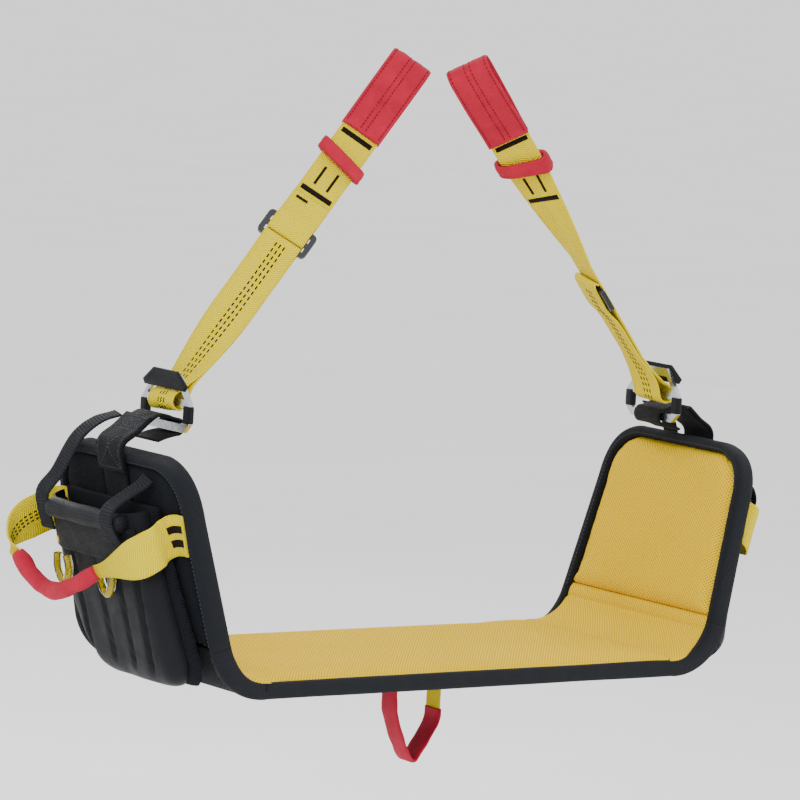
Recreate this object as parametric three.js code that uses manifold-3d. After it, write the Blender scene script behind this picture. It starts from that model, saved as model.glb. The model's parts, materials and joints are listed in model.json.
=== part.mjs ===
// Suspended climbing seat with two hinged side wings. Millimetres, +Z up, X across the seat, Y to the back.
// Everything is drawn from the middle of the sitting surface, each side part for the right side and mirrored,
// and then lowered so that the origin is the point that it hangs from.
import * as THREE from 'three';
import { mergeVertices } from 'three/addons/utils/BufferGeometryUtils.js';
import Module from 'manifold-3d';

const wasm = await Module();
wasm.setup();

// Clearances
const gap = 0.3;
const looseGap = 1;

// Seat
const seatWidth = 620;
const seatDepth = 275;
const padThickness = 13;
const boardThickness = 6;
const baseThickness = 3;
const boardInset = 8;
const bindingWidth = 13;
const panelThickness = padThickness + boardThickness + baseThickness + 2 * gap;

// Fold between the seat and each wing
const foldRun = 36;
const wingFlare = THREE.MathUtils.degToRad(14);
const foldAngle = Math.PI / 2 - wingFlare;
const foldRadius = foldRun / Math.tan(foldAngle / 2);
const seatHalfFlat = seatWidth / 2 - foldRun;

// Wing panel
const wingHeight = 237;
const wingTaper = 12;
const wingCornerRun = 66;
const wingPadThickness = 12;

// Webbing sizes
const webWidth = 45;
const webThickness = 2.2;
const harnessThickness = 3;
const ribbedWidth = 25;
const ribbedThickness = 2.5;

// Suspension ring
const ringOut = 326;
const crossbarHeight = 276;
const ringWidth = 92;
const ringStock = 10;
const barHeight = 9;
const barThickness = 5;
const lowerBarDrop = 26;
const upperBarRise = 24;
const ringTopWidth = 46;
const barWrapRadius = 7;
const riserWrapRadius = 8;
const guardThickness = 3.2;
const guardFoot = 13;

// Suspension webbing and its sewn patch on the wing
const suspensionFoot = 150;
const patchWidth = 50;
const patchLift = 0.6;
const patchStart = 0.3;
const patchEnd = 0.62;

// Pouch
const pouchTop = 186;
const pouchBottom = -4;
const pouchRearInset = 49.5;
const pouchFrontTopInset = 63.5;
const pouchFrontLowInset = 31.5;
const pouchRear = seatDepth / 2 - pouchRearInset;
const pouchFrontTop = pouchFrontTopInset - seatDepth / 2;
const pouchFrontLow = pouchFrontLowInset - seatDepth / 2;
const pouchCorner = 58;
const pouchDepth = 26;
const pouchWall = 3.5;
const pouchPadThickness = 11;
const pouchPadRim = 12;
const mouthRollRadius = 6;
const bandHeight = 38;
const bandDrop = 16;
const bandThickness = 2.5;
const rivetRadius = 4.5;

// Gear loop
const gearSleeveRadius = 9;
const gearEndHeight = 160;
const gearEndInset = 13.5;
const gearEndY = seatDepth / 2 - gearEndInset;
const gearEndSewn = 22;
const gearMouthInset = 28;
const sleeveGap = 3;

// Clear tube loops
const clearLoopWidth = 22;
const clearLoopDrop = 30;
const clearTubeRadius = 4;
const frontClearLoopY = -22;
const rearClearLoopY = 62;

// Risers
const topHalfSpacing = 13;
const topSetback = 30;
const topHeight = 638;
const hangDrop = 8;
const hangHeight = topHeight - hangDrop;
const riserLayerOffset = 1.8;
const leftAdjusterHeight = 229;
const rightAdjusterHeight = 150;
const leftAdjusterTwist = THREE.MathUtils.degToRad(52);
const leftTopTwist = THREE.MathUtils.degToRad(57);
const rightAdjusterTwist = THREE.MathUtils.degToRad(-12);
const rightTopTwist = THREE.MathUtils.degToRad(50);
const topLoopLength = 104;
const topLoopWidth = 48;
const topLoopThickness = 26;
const topLoopWall = 4.5;
const topLoopCrown = 6;
const topLoopFoot = 4;
const keeperDrop = 40;
const keeperWidth = 60;
const keeperThickness = 22;
const keeperLength = 17;
const keeperWall = 5;
const adjusterWidth = 60;
const adjusterLength = 30;
const adjusterThickness = 5;
const adjusterSlot = 7;
const adjusterBar = 5;

// Loop under the seat
const underLoopWidth = 28;
const underLoopThickness = 5;
const underLoopSpread = 60;
const underLoopDrop = 94;
const underLoopY = -20;
const underSeamLeft = 13;
const underSeamRight = 38;
const underAnchorLength = 120;
const underAnchorWidth = 45;

// Colours
const yellowMesh = { color: 0xd9b94e, roughness: 0.8, metalness: 0 };
const yellowWeb = { color: 0xf0d23c, roughness: 0.65, metalness: 0 };
const redCloth = { color: 0xc0414c, roughness: 0.75, metalness: 0 };
const blackMesh = { color: 0x2a2d33, roughness: 0.9, metalness: 0 };
const blackCloth = { color: 0x1d1f23, roughness: 0.7, metalness: 0 };
const blackBinding = { color: 0x34383f, roughness: 0.8, metalness: 0 };
const boardColour = { color: 0x6a5a45, roughness: 0.7, metalness: 0 };
const steel = { color: 0xc9ccd1, roughness: 0.25, metalness: 0.9 };
const blackMetal = { color: 0x16171a, roughness: 0.45, metalness: 0.5 };
const clearTube = { color: 0xdedfc8, roughness: 0.2, metalness: 0 };

const saddle = new THREE.Group();
saddle.name = 'tree_climbing_saddle';

// ---------- helpers ----------

function add(name, geometry, look) {
  const mesh = new THREE.Mesh(geometry, new THREE.MeshStandardMaterial(look));
  mesh.name = name;
  mesh.position.z = -hangHeight;
  saddle.add(mesh);
}

// The outline as points, without the repeats where an arc meets a line.
function outlinePoints(path, curveSegments) {
  const points = path.getPoints(curveSegments);
  return points.filter((point, i) => point.distanceTo(points[(i + 1) % points.length]) > gap / 100);
}

function extrude(shape, depth, curveSegments = 8) {
  const plain = new THREE.Shape(outlinePoints(shape, curveSegments));
  plain.holes = shape.holes.map((hole) => new THREE.Path(outlinePoints(hole, curveSegments)));
  return new THREE.ExtrudeGeometry(plain, { depth, bevelEnabled: false });
}

function block(x0, x1, y0, y1, z0, z1) {
  const geometry = new THREE.BoxGeometry(x1 - x0, y1 - y0, z1 - z0);
  return geometry.translate((x0 + x1) / 2, (y0 + y1) / 2, (z0 + z1) / 2);
}

function mirrored(geometry) {
  const copy = (geometry.index ? geometry.toNonIndexed() : geometry.clone()).scale(-1, 1, 1);
  const position = copy.attributes.position;
  const first = new THREE.Vector3();
  const last = new THREE.Vector3();
  for (let i = 0; i < position.count; i += 3) {
    first.fromBufferAttribute(position, i);
    last.fromBufferAttribute(position, i + 2);
    position.setXYZ(i, last.x, last.y, last.z);
    position.setXYZ(i + 2, first.x, first.y, first.z);
  }
  return copy;
}

// Adds the right-hand piece and its mirror image on the left.
function addPair(name, geometry, look) {
  add(`right_${name}`, geometry, look);
  add(`left_${name}`, mirrored(geometry), look);
}

function toManifold(geometry) {
  const bare = geometry.clone();
  bare.deleteAttribute('normal');
  bare.deleteAttribute('uv');
  const welded = mergeVertices(bare, 1e-4);
  const vertProperties = new Float32Array(welded.attributes.position.array);
  const triVerts = new Uint32Array(welded.index.array);
  return new wasm.Manifold(new wasm.Mesh({ numProp: 3, vertProperties, triVerts }));
}

function fromManifold(manifold) {
  const mesh = manifold.getMesh();
  const geometry = new THREE.BufferGeometry();
  geometry.setAttribute('position', new THREE.BufferAttribute(mesh.vertProperties, 3));
  geometry.setIndex(new THREE.BufferAttribute(mesh.triVerts, 1));
  geometry.computeVertexNormals();
  return geometry;
}

function subtract(geometry, ...tools) {
  return fromManifold(tools.reduce((body, tool) => body.subtract(toManifold(tool)), toManifold(geometry)));
}

function join(geometry, ...others) {
  return fromManifold(others.reduce((body, other) => body.add(toManifold(other)), toManifold(geometry)));
}

// A flat strap swept along a curve; its width lies along the side direction.
// A layer sewn on it is lifted off the curve.
function strapAlong(points, side, width, thickness, steps = 14, { lift = 0, from = 0, to = 1 } = {}) {
  const curve = new THREE.CatmullRomCurve3(points, false, 'centripetal');
  const widthAt = typeof width === 'function' ? width : () => width;
  const geometry = new THREE.BoxGeometry(1, 1, 1, 1, 1, steps);
  const position = geometry.attributes.position;
  const vertex = new THREE.Vector3();
  for (let i = 0; i < position.count; i += 1) {
    vertex.fromBufferAttribute(position, i);
    const along = from + (to - from) * (vertex.z + 0.5);
    const tangent = curve.getTangentAt(along);
    const across = side.clone().addScaledVector(tangent, -side.dot(tangent)).normalize();
    const normal = tangent.clone().cross(across);
    const point = curve.getPointAt(along);
    point.addScaledVector(across, vertex.x * widthAt(along));
    point.addScaledVector(normal, lift + vertex.y * thickness);
    position.setXYZ(i, point.x, point.y, point.z);
  }
  geometry.computeVertexNormals();
  return geometry;
}

function tubeAlong(points, radius, steps = 16, sides = 10) {
  const circle = new THREE.Shape();
  circle.absarc(0, 0, radius, 0, 2 * Math.PI);
  return new THREE.ExtrudeGeometry(circle, {
    extrudePath: new THREE.CatmullRomCurve3(points, false, 'centripetal'),
    steps,
    curveSegments: sides,
    bevelEnabled: false,
  });
}

function roundedRectangle(width, height, radius, path = new THREE.Shape()) {
  const x = width / 2 - radius;
  const y = height / 2 - radius;
  path.absarc(x, y, radius, 0, Math.PI / 2);
  path.absarc(-x, y, radius, Math.PI / 2, Math.PI);
  path.absarc(-x, -y, radius, Math.PI, 1.5 * Math.PI);
  path.absarc(x, -y, radius, 1.5 * Math.PI, 2 * Math.PI);
  path.closePath();
  return path;
}

const across = new THREE.Vector3(0, 1, 0);
const seatCorner = new THREE.Vector3(seatWidth / 2, 0, 0);
const wingUp = new THREE.Vector3(Math.sin(wingFlare), 0, Math.cos(wingFlare));
const wingOut = new THREE.Vector3(Math.cos(wingFlare), 0, -Math.sin(wingFlare));
const wingFrame = new THREE.Matrix4().makeBasis(across, wingUp, wingOut).setPosition(seatCorner);

// A point of the wing: back along the seat depth, up the panel, outward from its inner face.
function onWing(back, up, out) {
  return new THREE.Vector3(back, up, out).applyMatrix4(wingFrame);
}

function wingSolid(shape, out, thickness) {
  return extrude(shape, thickness).translate(0, 0, out).applyMatrix4(wingFrame);
}

// ---------- seat ----------

function buildSeat() {
  const end = seatHalfFlat - gap;
  const front = -seatDepth / 2;
  const inner = front + bindingWidth + gap;
  const boardTop = -padThickness - gap;
  const baseTop = boardTop - boardThickness - gap;
  add('seat_pad', block(-end, end, inner, -inner, -padThickness, 0), yellowMesh);
  const edge = boardInset;
  const boardBottom = boardTop - boardThickness;
  add('seat_board', block(-end + edge, end - edge, inner + edge, -inner - edge, boardBottom, boardTop), boardColour);
  add('seat_base_cover', block(-end, end, inner, -inner, -panelThickness, baseTop), blackCloth);
  const profile = roundedRectangle(bindingWidth, panelThickness, bindingWidth / 3);
  const bar = extrude(profile, 2 * end, 4).rotateX(Math.PI / 2).rotateZ(Math.PI / 2);
  const middle = front + bindingWidth / 2;
  const placed = bar.translate(-end, 0, -panelThickness / 2);
  add('seat_front_binding', placed.clone().translate(0, middle, 0), blackBinding);
  add('seat_rear_binding', placed.clone().translate(0, -middle, 0), blackBinding);
}

function buildFolds() {
  const slip = gap / foldRadius;
  const start = -Math.PI / 2 + slip;
  const finish = -wingFlare - slip;
  const shape = new THREE.Shape();
  shape.absarc(0, 0, foldRadius + panelThickness, start, finish);
  shape.absarc(0, 0, foldRadius, finish, start, true);
  shape.closePath();
  const bend = extrude(shape, seatDepth, 8).rotateX(Math.PI / 2);
  addPair('fold_panel', bend.translate(seatHalfFlat, seatDepth / 2, foldRadius), blackMesh);
}

// ---------- wings ----------

// Outline of a wing: straight tapering sides and two soft top corners, drawn from the front foot to the rear foot.
function wingOutline(inset, foot) {
  const half = seatDepth / 2 - inset;
  const top = wingHeight - inset;
  const run = wingCornerRun - inset;
  const shoulder = half - wingTaper;
  const path = new THREE.Path();
  path.moveTo(-half, foot);
  path.lineTo(-shoulder, top - run);
  path.quadraticCurveTo(-shoulder, top, -shoulder + run, top);
  path.lineTo(shoulder - run, top);
  path.quadraticCurveTo(shoulder, top, shoulder, top - run);
  path.lineTo(half, foot);
  return path.getPoints(8);
}

function buildWings() {
  const foot = foldRun + gap;
  const field = wingOutline(bindingWidth + gap, foot);
  const rim = wingOutline(0, foot).concat(wingOutline(bindingWidth, foot).reverse());
  addPair('wing_pad', wingSolid(new THREE.Shape(field), 0, wingPadThickness), yellowMesh);
  const shellFrom = wingPadThickness + gap;
  const shell = wingSolid(new THREE.Shape(field), shellFrom, panelThickness - shellFrom);
  addPair('wing_shell', shell, blackMesh);
  addPair('wing_binding', wingSolid(new THREE.Shape(rim), 0, panelThickness), blackBinding);
}

// ---------- suspension webbing and ring ----------

const barWrap = barWrapRadius + harnessThickness / 2;
const lowerBar = new THREE.Vector3(ringOut, 0, crossbarHeight - lowerBarDrop);

function buildSuspension() {
  const out = panelThickness + gap + harnessThickness / 2;
  const around = (angle, reach = barWrap) => {
    const turn = THREE.MathUtils.degToRad(angle);
    return new THREE.Vector3(lowerBar.x + reach * Math.cos(turn), 0, lowerBar.z + reach * Math.sin(turn));
  };
  const path = [
    onWing(0, suspensionFoot, out),
    onWing(0, wingHeight - 40, out),
    onWing(0, wingHeight - 8, out + 0.3),
    onWing(0, wingHeight + 2, out + 0.5),
    onWing(0, wingHeight + 9, out - 4),
    onWing(0, wingHeight + 15, out - 20),
    around(30, 3 * barWrap),
    around(80),
    around(120),
    around(160),
    around(200),
    around(240),
    around(280),
    around(-40, 2 * barWrap),
    around(-32, 3.2 * barWrap),
  ];
  const strap = strapAlong(path, across, webWidth, harnessThickness, 48);
  addPair('suspension_webbing', strap, blackCloth);
  const sewn = { lift: -harnessThickness - patchLift, from: patchStart, to: patchEnd };
  addPair('anchor_patch', strapAlong(path, across, patchWidth, harnessThickness, 16, sewn), blackCloth);
}

function hexagon(width, topWidth, low, high, path = new THREE.Shape()) {
  const shoulder = (low + high) / 2;
  const chamfer = (high - low) / 6;
  path.moveTo(-width / 2 + chamfer, low);
  path.lineTo(width / 2 - chamfer, low);
  path.lineTo(width / 2, low + chamfer);
  path.lineTo(width / 2, shoulder);
  path.lineTo(topWidth / 2, high);
  path.lineTo(-topWidth / 2, high);
  path.lineTo(-width / 2, shoulder);
  path.lineTo(-width / 2, low + chamfer);
  path.closePath();
  return path;
}

function window(low, high, lowHalf, highHalf) {
  const hole = new THREE.Path();
  hole.moveTo(-lowHalf, low);
  hole.lineTo(lowHalf, low);
  hole.lineTo(highHalf, high);
  hole.lineTo(-highHalf, high);
  hole.closePath();
  return hole;
}

function buildRings() {
  const halfBar = barHeight / 2;
  const low = -lowerBarDrop - halfBar;
  const high = upperBarRise + halfBar;
  const inner = ringWidth / 2 - ringStock;
  const frame = hexagon(ringWidth, ringTopWidth, low, high);
  frame.holes.push(window(-lowerBarDrop + halfBar, -halfBar, inner, inner));
  frame.holes.push(window(halfBar, upperBarRise - halfBar, inner, ringTopWidth / 2));
  const upright = new THREE.Matrix4().makeBasis(
    across,
    new THREE.Vector3(0, 0, 1),
    new THREE.Vector3(1, 0, 0),
  ).setPosition(ringOut, 0, crossbarHeight);
  const plate = extrude(frame, barThickness).translate(0, 0, -barThickness / 2).applyMatrix4(upright);
  addPair('ring_frame', plate, steel);
  const cover = hexagon(ringWidth - 6, ringTopWidth, guardFoot, high + 4);
  const guard = extrude(cover, guardThickness).translate(0, 0, barThickness / 2 + gap);
  addPair('ring_guard', guard.applyMatrix4(upright), blackCloth);
}

// ---------- pouch ----------

function pouchOutline(rim) {
  const rear = pouchRear + rim / 2;
  const bottom = pouchBottom - rim / 4;
  const top = pouchTop + rim / 2;
  const shape = new THREE.Shape();
  shape.moveTo(pouchFrontTop - rim, top);
  shape.lineTo(pouchFrontLow - rim, bottom + pouchCorner / 2);
  shape.quadraticCurveTo(pouchFrontLow - rim, bottom, pouchFrontLow - rim + pouchCorner / 2, bottom);
  shape.lineTo(rear - pouchCorner, bottom);
  shape.quadraticCurveTo(rear, bottom, rear, bottom + pouchCorner);
  shape.lineTo(rear, top);
  shape.closePath();
  return shape;
}

const pouchPadOut = panelThickness + 2 * gap + harnessThickness;
const pouchOut = pouchPadOut + pouchPadThickness + gap;
const pouchFace = pouchOut + pouchDepth;

function buildPouches() {
  addPair('pouch_back_pad', wingSolid(pouchOutline(pouchPadRim), pouchPadOut, pouchPadThickness), blackMesh);
  const outer = wingSolid(pouchOutline(0), pouchOut, pouchDepth);
  const hollow = new THREE.Shape();
  const low = pouchBottom + pouchWall;
  const floor = pouchCorner / 2;
  hollow.moveTo(pouchFrontTop + pouchWall - 1, pouchTop + looseGap);
  hollow.lineTo(pouchFrontLow + pouchWall, low + floor);
  hollow.quadraticCurveTo(pouchFrontLow + pouchWall, low, pouchFrontLow + pouchWall + floor, low);
  hollow.lineTo(pouchRear - pouchWall - pouchCorner, low);
  hollow.quadraticCurveTo(pouchRear - pouchWall, low, pouchRear - pouchWall, low + pouchCorner);
  hollow.lineTo(pouchRear - pouchWall, pouchTop + looseGap);
  hollow.closePath();
  const inner = wingSolid(hollow, pouchOut - looseGap, pouchDepth - pouchWall + looseGap);
  addPair('pouch_body', subtract(outer, inner), blackCloth);
  const rollOut = pouchFace + gap + mouthRollRadius;
  const rollUp = pouchTop - mouthRollRadius;
  const roll = [onWing(pouchFrontTop + 6, rollUp, rollOut), onWing(pouchRear - 22, rollUp, rollOut)];
  addPair('pouch_mouth_roll', tubeAlong(roll, mouthRollRadius, 1, 6), blackCloth);
  const band = roundedRectangle(pouchRear - pouchFrontTop - 4, bandHeight, 4);
  const bandMiddle = (pouchRear + pouchFrontTop) / 2;
  const bandUp = pouchTop - bandDrop - bandHeight / 2;
  const flat = wingSolid(band, pouchFace + gap, bandThickness);
  flat.translate(0, bandMiddle, 0);
  flat.translate(wingUp.x * bandUp, 0, wingUp.z * bandUp);
  const rivet = new THREE.CylinderGeometry(rivetRadius, rivetRadius, bandThickness + 1, 12);
  rivet.rotateX(Math.PI / 2).translate(pouchRear - 20, bandUp - 10, pouchFace + gap + bandThickness / 2 + 0.5);
  addPair('pouch_band', join(flat, rivet.applyMatrix4(wingFrame)), blackCloth);
}

function buildPouchStraps() {
  const faceOut = pouchFace + 2 * gap + bandThickness + ribbedThickness / 2;
  const rollOut = pouchFace + 2 * gap + 2 * mouthRollRadius + ribbedThickness / 2;
  const frontY = pouchFrontTop + 20;
  const front = [
    onWing(frontY - 12, wingHeight - 20, panelThickness + 3 * looseGap + ribbedThickness / 2),
    onWing(frontY - 10, wingHeight - 25, panelThickness + 10),
    onWing(frontY - 4, wingHeight - 32, panelThickness + 24),
    onWing(frontY, pouchTop + 8, rollOut - 6),
    onWing(frontY, pouchTop - 4, rollOut + 1),
    onWing(frontY, pouchTop - 2 * mouthRollRadius - 6, rollOut - 2),
    onWing(frontY, pouchTop - 34, faceOut + 0.6),
  ];
  addPair('front_strap', strapAlong(front, across, ribbedWidth, ribbedThickness, 22), blackCloth);
  const rearY = pouchRear - 8;
  const rear = [
    onWing(44, wingHeight + 24, -16),
    onWing(50, wingHeight + 22, 6),
    onWing(58, wingHeight + 10, 28),
    onWing(68, pouchTop + 26, rollOut - 22),
    onWing(rearY, pouchTop + 6, rollOut - 8),
    onWing(rearY, pouchTop - 12, faceOut + 3),
    onWing(rearY, pouchTop - 34, faceOut + 0.6),
  ];
  addPair('rear_strap', strapAlong(rear, across, ribbedWidth, ribbedThickness, 22), blackCloth);
}

// ---------- gear loops ----------

const gearFace = panelThickness + looseGap + webThickness / 2;
const gearMouthFront = new THREE.Vector3(-30, 125, 92);
const gearMouthRear = new THREE.Vector3(gearEndY - gearMouthInset, 131, 116);
const gearLow = new THREE.Vector3(40, 99, 115);

function wingPath(points) {
  return points.map(([back, up, out]) => onWing(back, up, out));
}

function buildGearLoops() {
  const taper = (along) => webWidth - (webWidth - 2 * gearSleeveRadius) * along ** 2;
  const frontPath = wingPath([
    [-gearEndY, gearEndHeight, gearFace],
    [-gearEndY + 10, gearEndHeight, gearFace + 0.4],
    [-gearEndY + 18, gearEndHeight - 1, gearFace + 3.5],
    [-gearEndY + 22, gearEndHeight - 3, gearFace + 12],
    [-gearEndY + 25, gearEndHeight - 8, gearFace + 26],
    [-gearEndY + 40, gearEndHeight - 18, gearFace + 50],
    [(gearMouthFront.x - gearEndY + 40) / 2, gearMouthFront.y + 8, gearMouthFront.z - 4],
    [gearMouthFront.x - sleeveGap, gearMouthFront.y + 1, gearMouthFront.z - 1],
  ]);
  addPair('gear_front_webbing', strapAlong(frontPath, wingUp, taper, webThickness, 24), yellowWeb);
  const rearPath = wingPath([
    [gearEndY - gearEndSewn, gearEndHeight, gearFace],
    [gearEndY - 10, gearEndHeight, gearFace + 0.4],
    [gearEndY - 2, gearEndHeight - 1, gearFace + 3.5],
    [gearEndY + 2, gearEndHeight - 2, gearFace + 12],
    [gearEndY + 5, gearEndHeight - 7, gearFace + 42],
    [gearEndY, gearEndHeight - 15, gearMouthRear.z - 14],
    [gearMouthRear.x + 13, gearMouthRear.y + 6, gearMouthRear.z - 1],
    [gearMouthRear.x + sleeveGap, gearMouthRear.y + 1, gearMouthRear.z],
  ]);
  addPair('gear_rear_webbing', strapAlong(rearPath, wingUp, taper, webThickness, 24), yellowWeb);
  const sleevePath = wingPath([
    gearMouthFront.toArray(),
    [gearMouthFront.x + 25, gearMouthFront.y - 14, gearMouthFront.z + 14],
    gearLow.toArray(),
    [gearMouthRear.x - 22, gearLow.y + 13, gearMouthRear.z + 1],
    gearMouthRear.toArray(),
  ]);
  addPair('gear_sleeve', tubeAlong(sleevePath, gearSleeveRadius, 16, 5), redCloth);
}

function buildClearLoop(name, back) {
  const out = pouchFace + 2 * gap + clearTubeRadius;
  const top = pouchTop - bandDrop - bandHeight - clearTubeRadius - 2;
  const half = clearLoopWidth / 2;
  const path = wingPath([
    [back - half + 2, top, out],
    [back - half, top - clearLoopDrop / 2, out + 1],
    [back - half / 2, top - clearLoopDrop + 4, out + 2],
    [back, top - clearLoopDrop, out + 2],
    [back + half / 2, top - clearLoopDrop + 4, out + 2],
    [back + half, top - clearLoopDrop / 2, out + 1],
    [back + half - 2, top, out],
  ]);
  addPair(name, tubeAlong(path, clearTubeRadius, 14, 4), clearTube);
}

// ---------- risers ----------

// A riser's own frame: width, thickness, and distance up the strap from the crossbar.
function riserFrame(side) {
  const foot = new THREE.Vector3(side * ringOut, 0, crossbarHeight);
  const top = new THREE.Vector3(side * topHalfSpacing, -side * topSetback, topHeight);
  const along = top.clone().sub(foot);
  const length = along.length();
  along.normalize();
  const width = across.clone().addScaledVector(along, -across.dot(along)).normalize();
  const face = along.clone().cross(width);
  return { length, matrix: new THREE.Matrix4().makeBasis(width, face, along).setPosition(foot) };
}

function buildRiser(sideName, side, adjusterHeight, adjusterTwist, topTwist) {
  const { length, matrix } = riserFrame(side);
  const loopFoot = length - topLoopLength;
  const twistAt = (height) => {
    const half = webWidth / 2;
    const lower = THREE.MathUtils.clamp((height - half) / (adjusterHeight - 2 * half), 0, 1);
    const upper = THREE.MathUtils.clamp((height - adjusterHeight - half) / (loopFoot - adjusterHeight - half), 0, 1);
    return lower * adjusterTwist + upper * (topTwist - adjusterTwist);
  };
  const place = (geometry, fixedTwist) => {
    const position = geometry.attributes.position;
    for (let i = 0; i < position.count; i += 1) {
      const x = position.getX(i);
      const y = position.getY(i);
      const twist = fixedTwist ?? twistAt(position.getZ(i));
      const cos = Math.cos(twist);
      const sin = Math.sin(twist);
      position.setXY(i, x * cos - y * sin, x * sin + y * cos);
    }
    geometry.applyMatrix4(matrix);
    geometry.computeVertexNormals();
    return geometry;
  };
  const widthWay = new THREE.Vector3(1, 0, 0);
  const strapPoint = (offset, height) => new THREE.Vector3(0, offset, height);

  const legTop = adjusterHeight - adjusterLength / 2 - gap;
  const wrap = riserWrapRadius + webThickness / 2;
  const hairpin = [
    strapPoint(riserLayerOffset, legTop),
    strapPoint(riserLayerOffset, 0.6 * legTop),
    strapPoint(riserLayerOffset + 0.4, 40),
    strapPoint(0.75 * wrap, 14),
    strapPoint(wrap, 2),
    strapPoint(0.7 * wrap, -0.7 * wrap),
    strapPoint(0, -wrap),
    strapPoint(-0.7 * wrap, -0.7 * wrap),
    strapPoint(-wrap, 2),
    strapPoint(-0.75 * wrap, 14),
    strapPoint(-riserLayerOffset - 0.4, 40),
    strapPoint(-riserLayerOffset, 0.6 * legTop),
    strapPoint(-riserLayerOffset, legTop),
  ];
  const lower = strapAlong(hairpin, widthWay, webWidth, webThickness, 52);
  add(`${sideName}_riser_lower_webbing`, place(lower), yellowWeb);

  const upperPath = [
    strapPoint(-riserLayerOffset, legTop + gap),
    strapPoint(-riserLayerOffset, (legTop + loopFoot) / 2),
    strapPoint(-riserLayerOffset, loopFoot - gap),
  ];
  const upper = strapAlong(upperPath, widthWay, webWidth, webThickness, 12);
  add(`${sideName}_riser_upper_webbing`, place(upper), yellowWeb);

  const slide = roundedRectangle(adjusterWidth, adjusterLength, 5);
  const slotWidth = webWidth + 4;
  const slotShift = (adjusterBar + adjusterSlot) / 2;
  for (const way of [-1, 1]) {
    const slot = new THREE.Path();
    const middle = way * slotShift;
    slot.moveTo(-slotWidth / 2, middle - adjusterSlot / 2);
    slot.lineTo(slotWidth / 2, middle - adjusterSlot / 2);
    slot.lineTo(slotWidth / 2, middle + adjusterSlot / 2);
    slot.lineTo(-slotWidth / 2, middle + adjusterSlot / 2);
    slot.closePath();
    slide.holes.push(slot);
  }
  const slider = extrude(slide, adjusterThickness, 3).rotateX(Math.PI / 2);
  const sliderFoot = webThickness / 2 - riserLayerOffset + looseGap;
  slider.translate(0, sliderFoot + adjusterThickness, adjusterHeight);
  add(`${sideName}_adjuster`, place(slider, twistAt(adjusterHeight)), blackMetal);

  const keeper = roundedRectangle(keeperWidth, keeperThickness, keeperThickness / 2 - 1);
  const openWidth = keeperWidth - 2 * keeperWall;
  const openThickness = keeperThickness - 2 * keeperWall;
  keeper.holes.push(roundedRectangle(openWidth, openThickness, openThickness / 2 - 1, new THREE.Path()));
  const keeperHeight = loopFoot - keeperDrop;
  const ring = extrude(keeper, keeperLength, 4).translate(0, -riserLayerOffset, keeperHeight - keeperLength / 2);
  add(`${sideName}_keeper_loop`, place(ring, twistAt(keeperHeight)), redCloth);

  const outer = teardrop(new THREE.Shape(), topLoopFoot, topLoopThickness / 2, 0, topLoopLength);
  const innerHalf = topLoopThickness / 2 - topLoopWall;
  const inner = teardrop(new THREE.Shape(), 1, innerHalf, topLoopLength / 4, topLoopLength - topLoopCrown);
  const hollow = extrude(inner, topLoopWidth + 2 * looseGap).translate(0, 0, -looseGap);
  const onEdge = new THREE.Matrix4().makeBasis(
    new THREE.Vector3(0, 1, 0),
    new THREE.Vector3(0, 0, 1),
    new THREE.Vector3(1, 0, 0),
  ).setPosition(-topLoopWidth / 2, 0, loopFoot);
  const loop = subtract(extrude(outer, topLoopWidth), hollow).applyMatrix4(onEdge);
  add(`${sideName}_top_loop`, place(loop, topTwist), redCloth);
}

// Closed drop shape, narrow at its foot and round at its head.
function teardrop(path, footHalf, headHalf, foot, head) {
  const height = head - foot;
  const shoulder = head - headHalf;
  path.moveTo(-footHalf, foot);
  path.bezierCurveTo(-footHalf, foot + 0.4 * height, -headHalf, foot + 0.4 * height, -headHalf, shoulder);
  path.absarc(0, shoulder, headHalf, Math.PI, 0, true);
  path.bezierCurveTo(headHalf, foot + 0.4 * height, footHalf, foot + 0.4 * height, footHalf, foot);
  path.closePath();
  return path;
}

// ---------- loop under the seat ----------

function buildUnderLoop() {
  const anchorTop = -panelThickness - gap;
  const anchorFoot = anchorTop - harnessThickness;
  const half = underAnchorLength / 2;
  const side = underAnchorWidth / 2;
  const anchor = block(-half, half, underLoopY - side, underLoopY + side, anchorFoot, anchorTop);
  add('under_seat_anchor', anchor, blackCloth);
  const spread = underLoopSpread / 2;
  const top = anchorFoot - looseGap;
  const low = top - underLoopDrop;
  const at = (x, z) => new THREE.Vector3(x, underLoopY, z);
  const legs = {
    left: { x: -spread, seam: top - underSeamLeft },
    right: { x: spread, seam: top - underSeamRight },
  };
  for (const [name, { x, seam }] of Object.entries(legs)) {
    const leg = strapAlong([at(x, seam + looseGap), at(x, top)], across, underLoopWidth - 3, webThickness, 1);
    add(`under_seat_webbing_${name}`, leg, yellowWeb);
  }
  const sleevePath = [
    at(-spread, legs.left.seam),
    at(-spread + 2, top - 0.4 * underLoopDrop),
    at(-0.42 * spread, low + 16),
    at(0, low),
    at(0.42 * spread, low + 16),
    at(spread - 1, top - 0.55 * underLoopDrop),
    at(spread, legs.right.seam),
  ];
  const sleeve = strapAlong(sleevePath, across, underLoopWidth, underLoopThickness, 24);
  add('under_seat_sleeve', sleeve, redCloth);
}

buildSeat();
buildFolds();
buildWings();
buildSuspension();
buildRings();
buildPouches();
buildPouchStraps();
buildGearLoops();
buildClearLoop('front_clear_loop', frontClearLoopY);
buildClearLoop('rear_clear_loop', rearClearLoopY);
buildRiser('left', -1, leftAdjusterHeight, leftAdjusterTwist, leftTopTwist);
buildRiser('right', 1, rightAdjusterHeight, rightAdjusterTwist, rightTopTwist);
buildUnderLoop();

export default saddle;
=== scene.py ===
"""Looks of the suspended climbing seat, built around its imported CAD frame.

Shapes are worked out in millimetres from the middle of the sitting surface:
X to the right, Y to the back, +Z up.
Each side part is drawn for the right side, and side = -1 mirrors it.
"""

import json
import math

import bmesh
import bpy
import numpy as np
from mathutils import Matrix, Vector, noise

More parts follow.
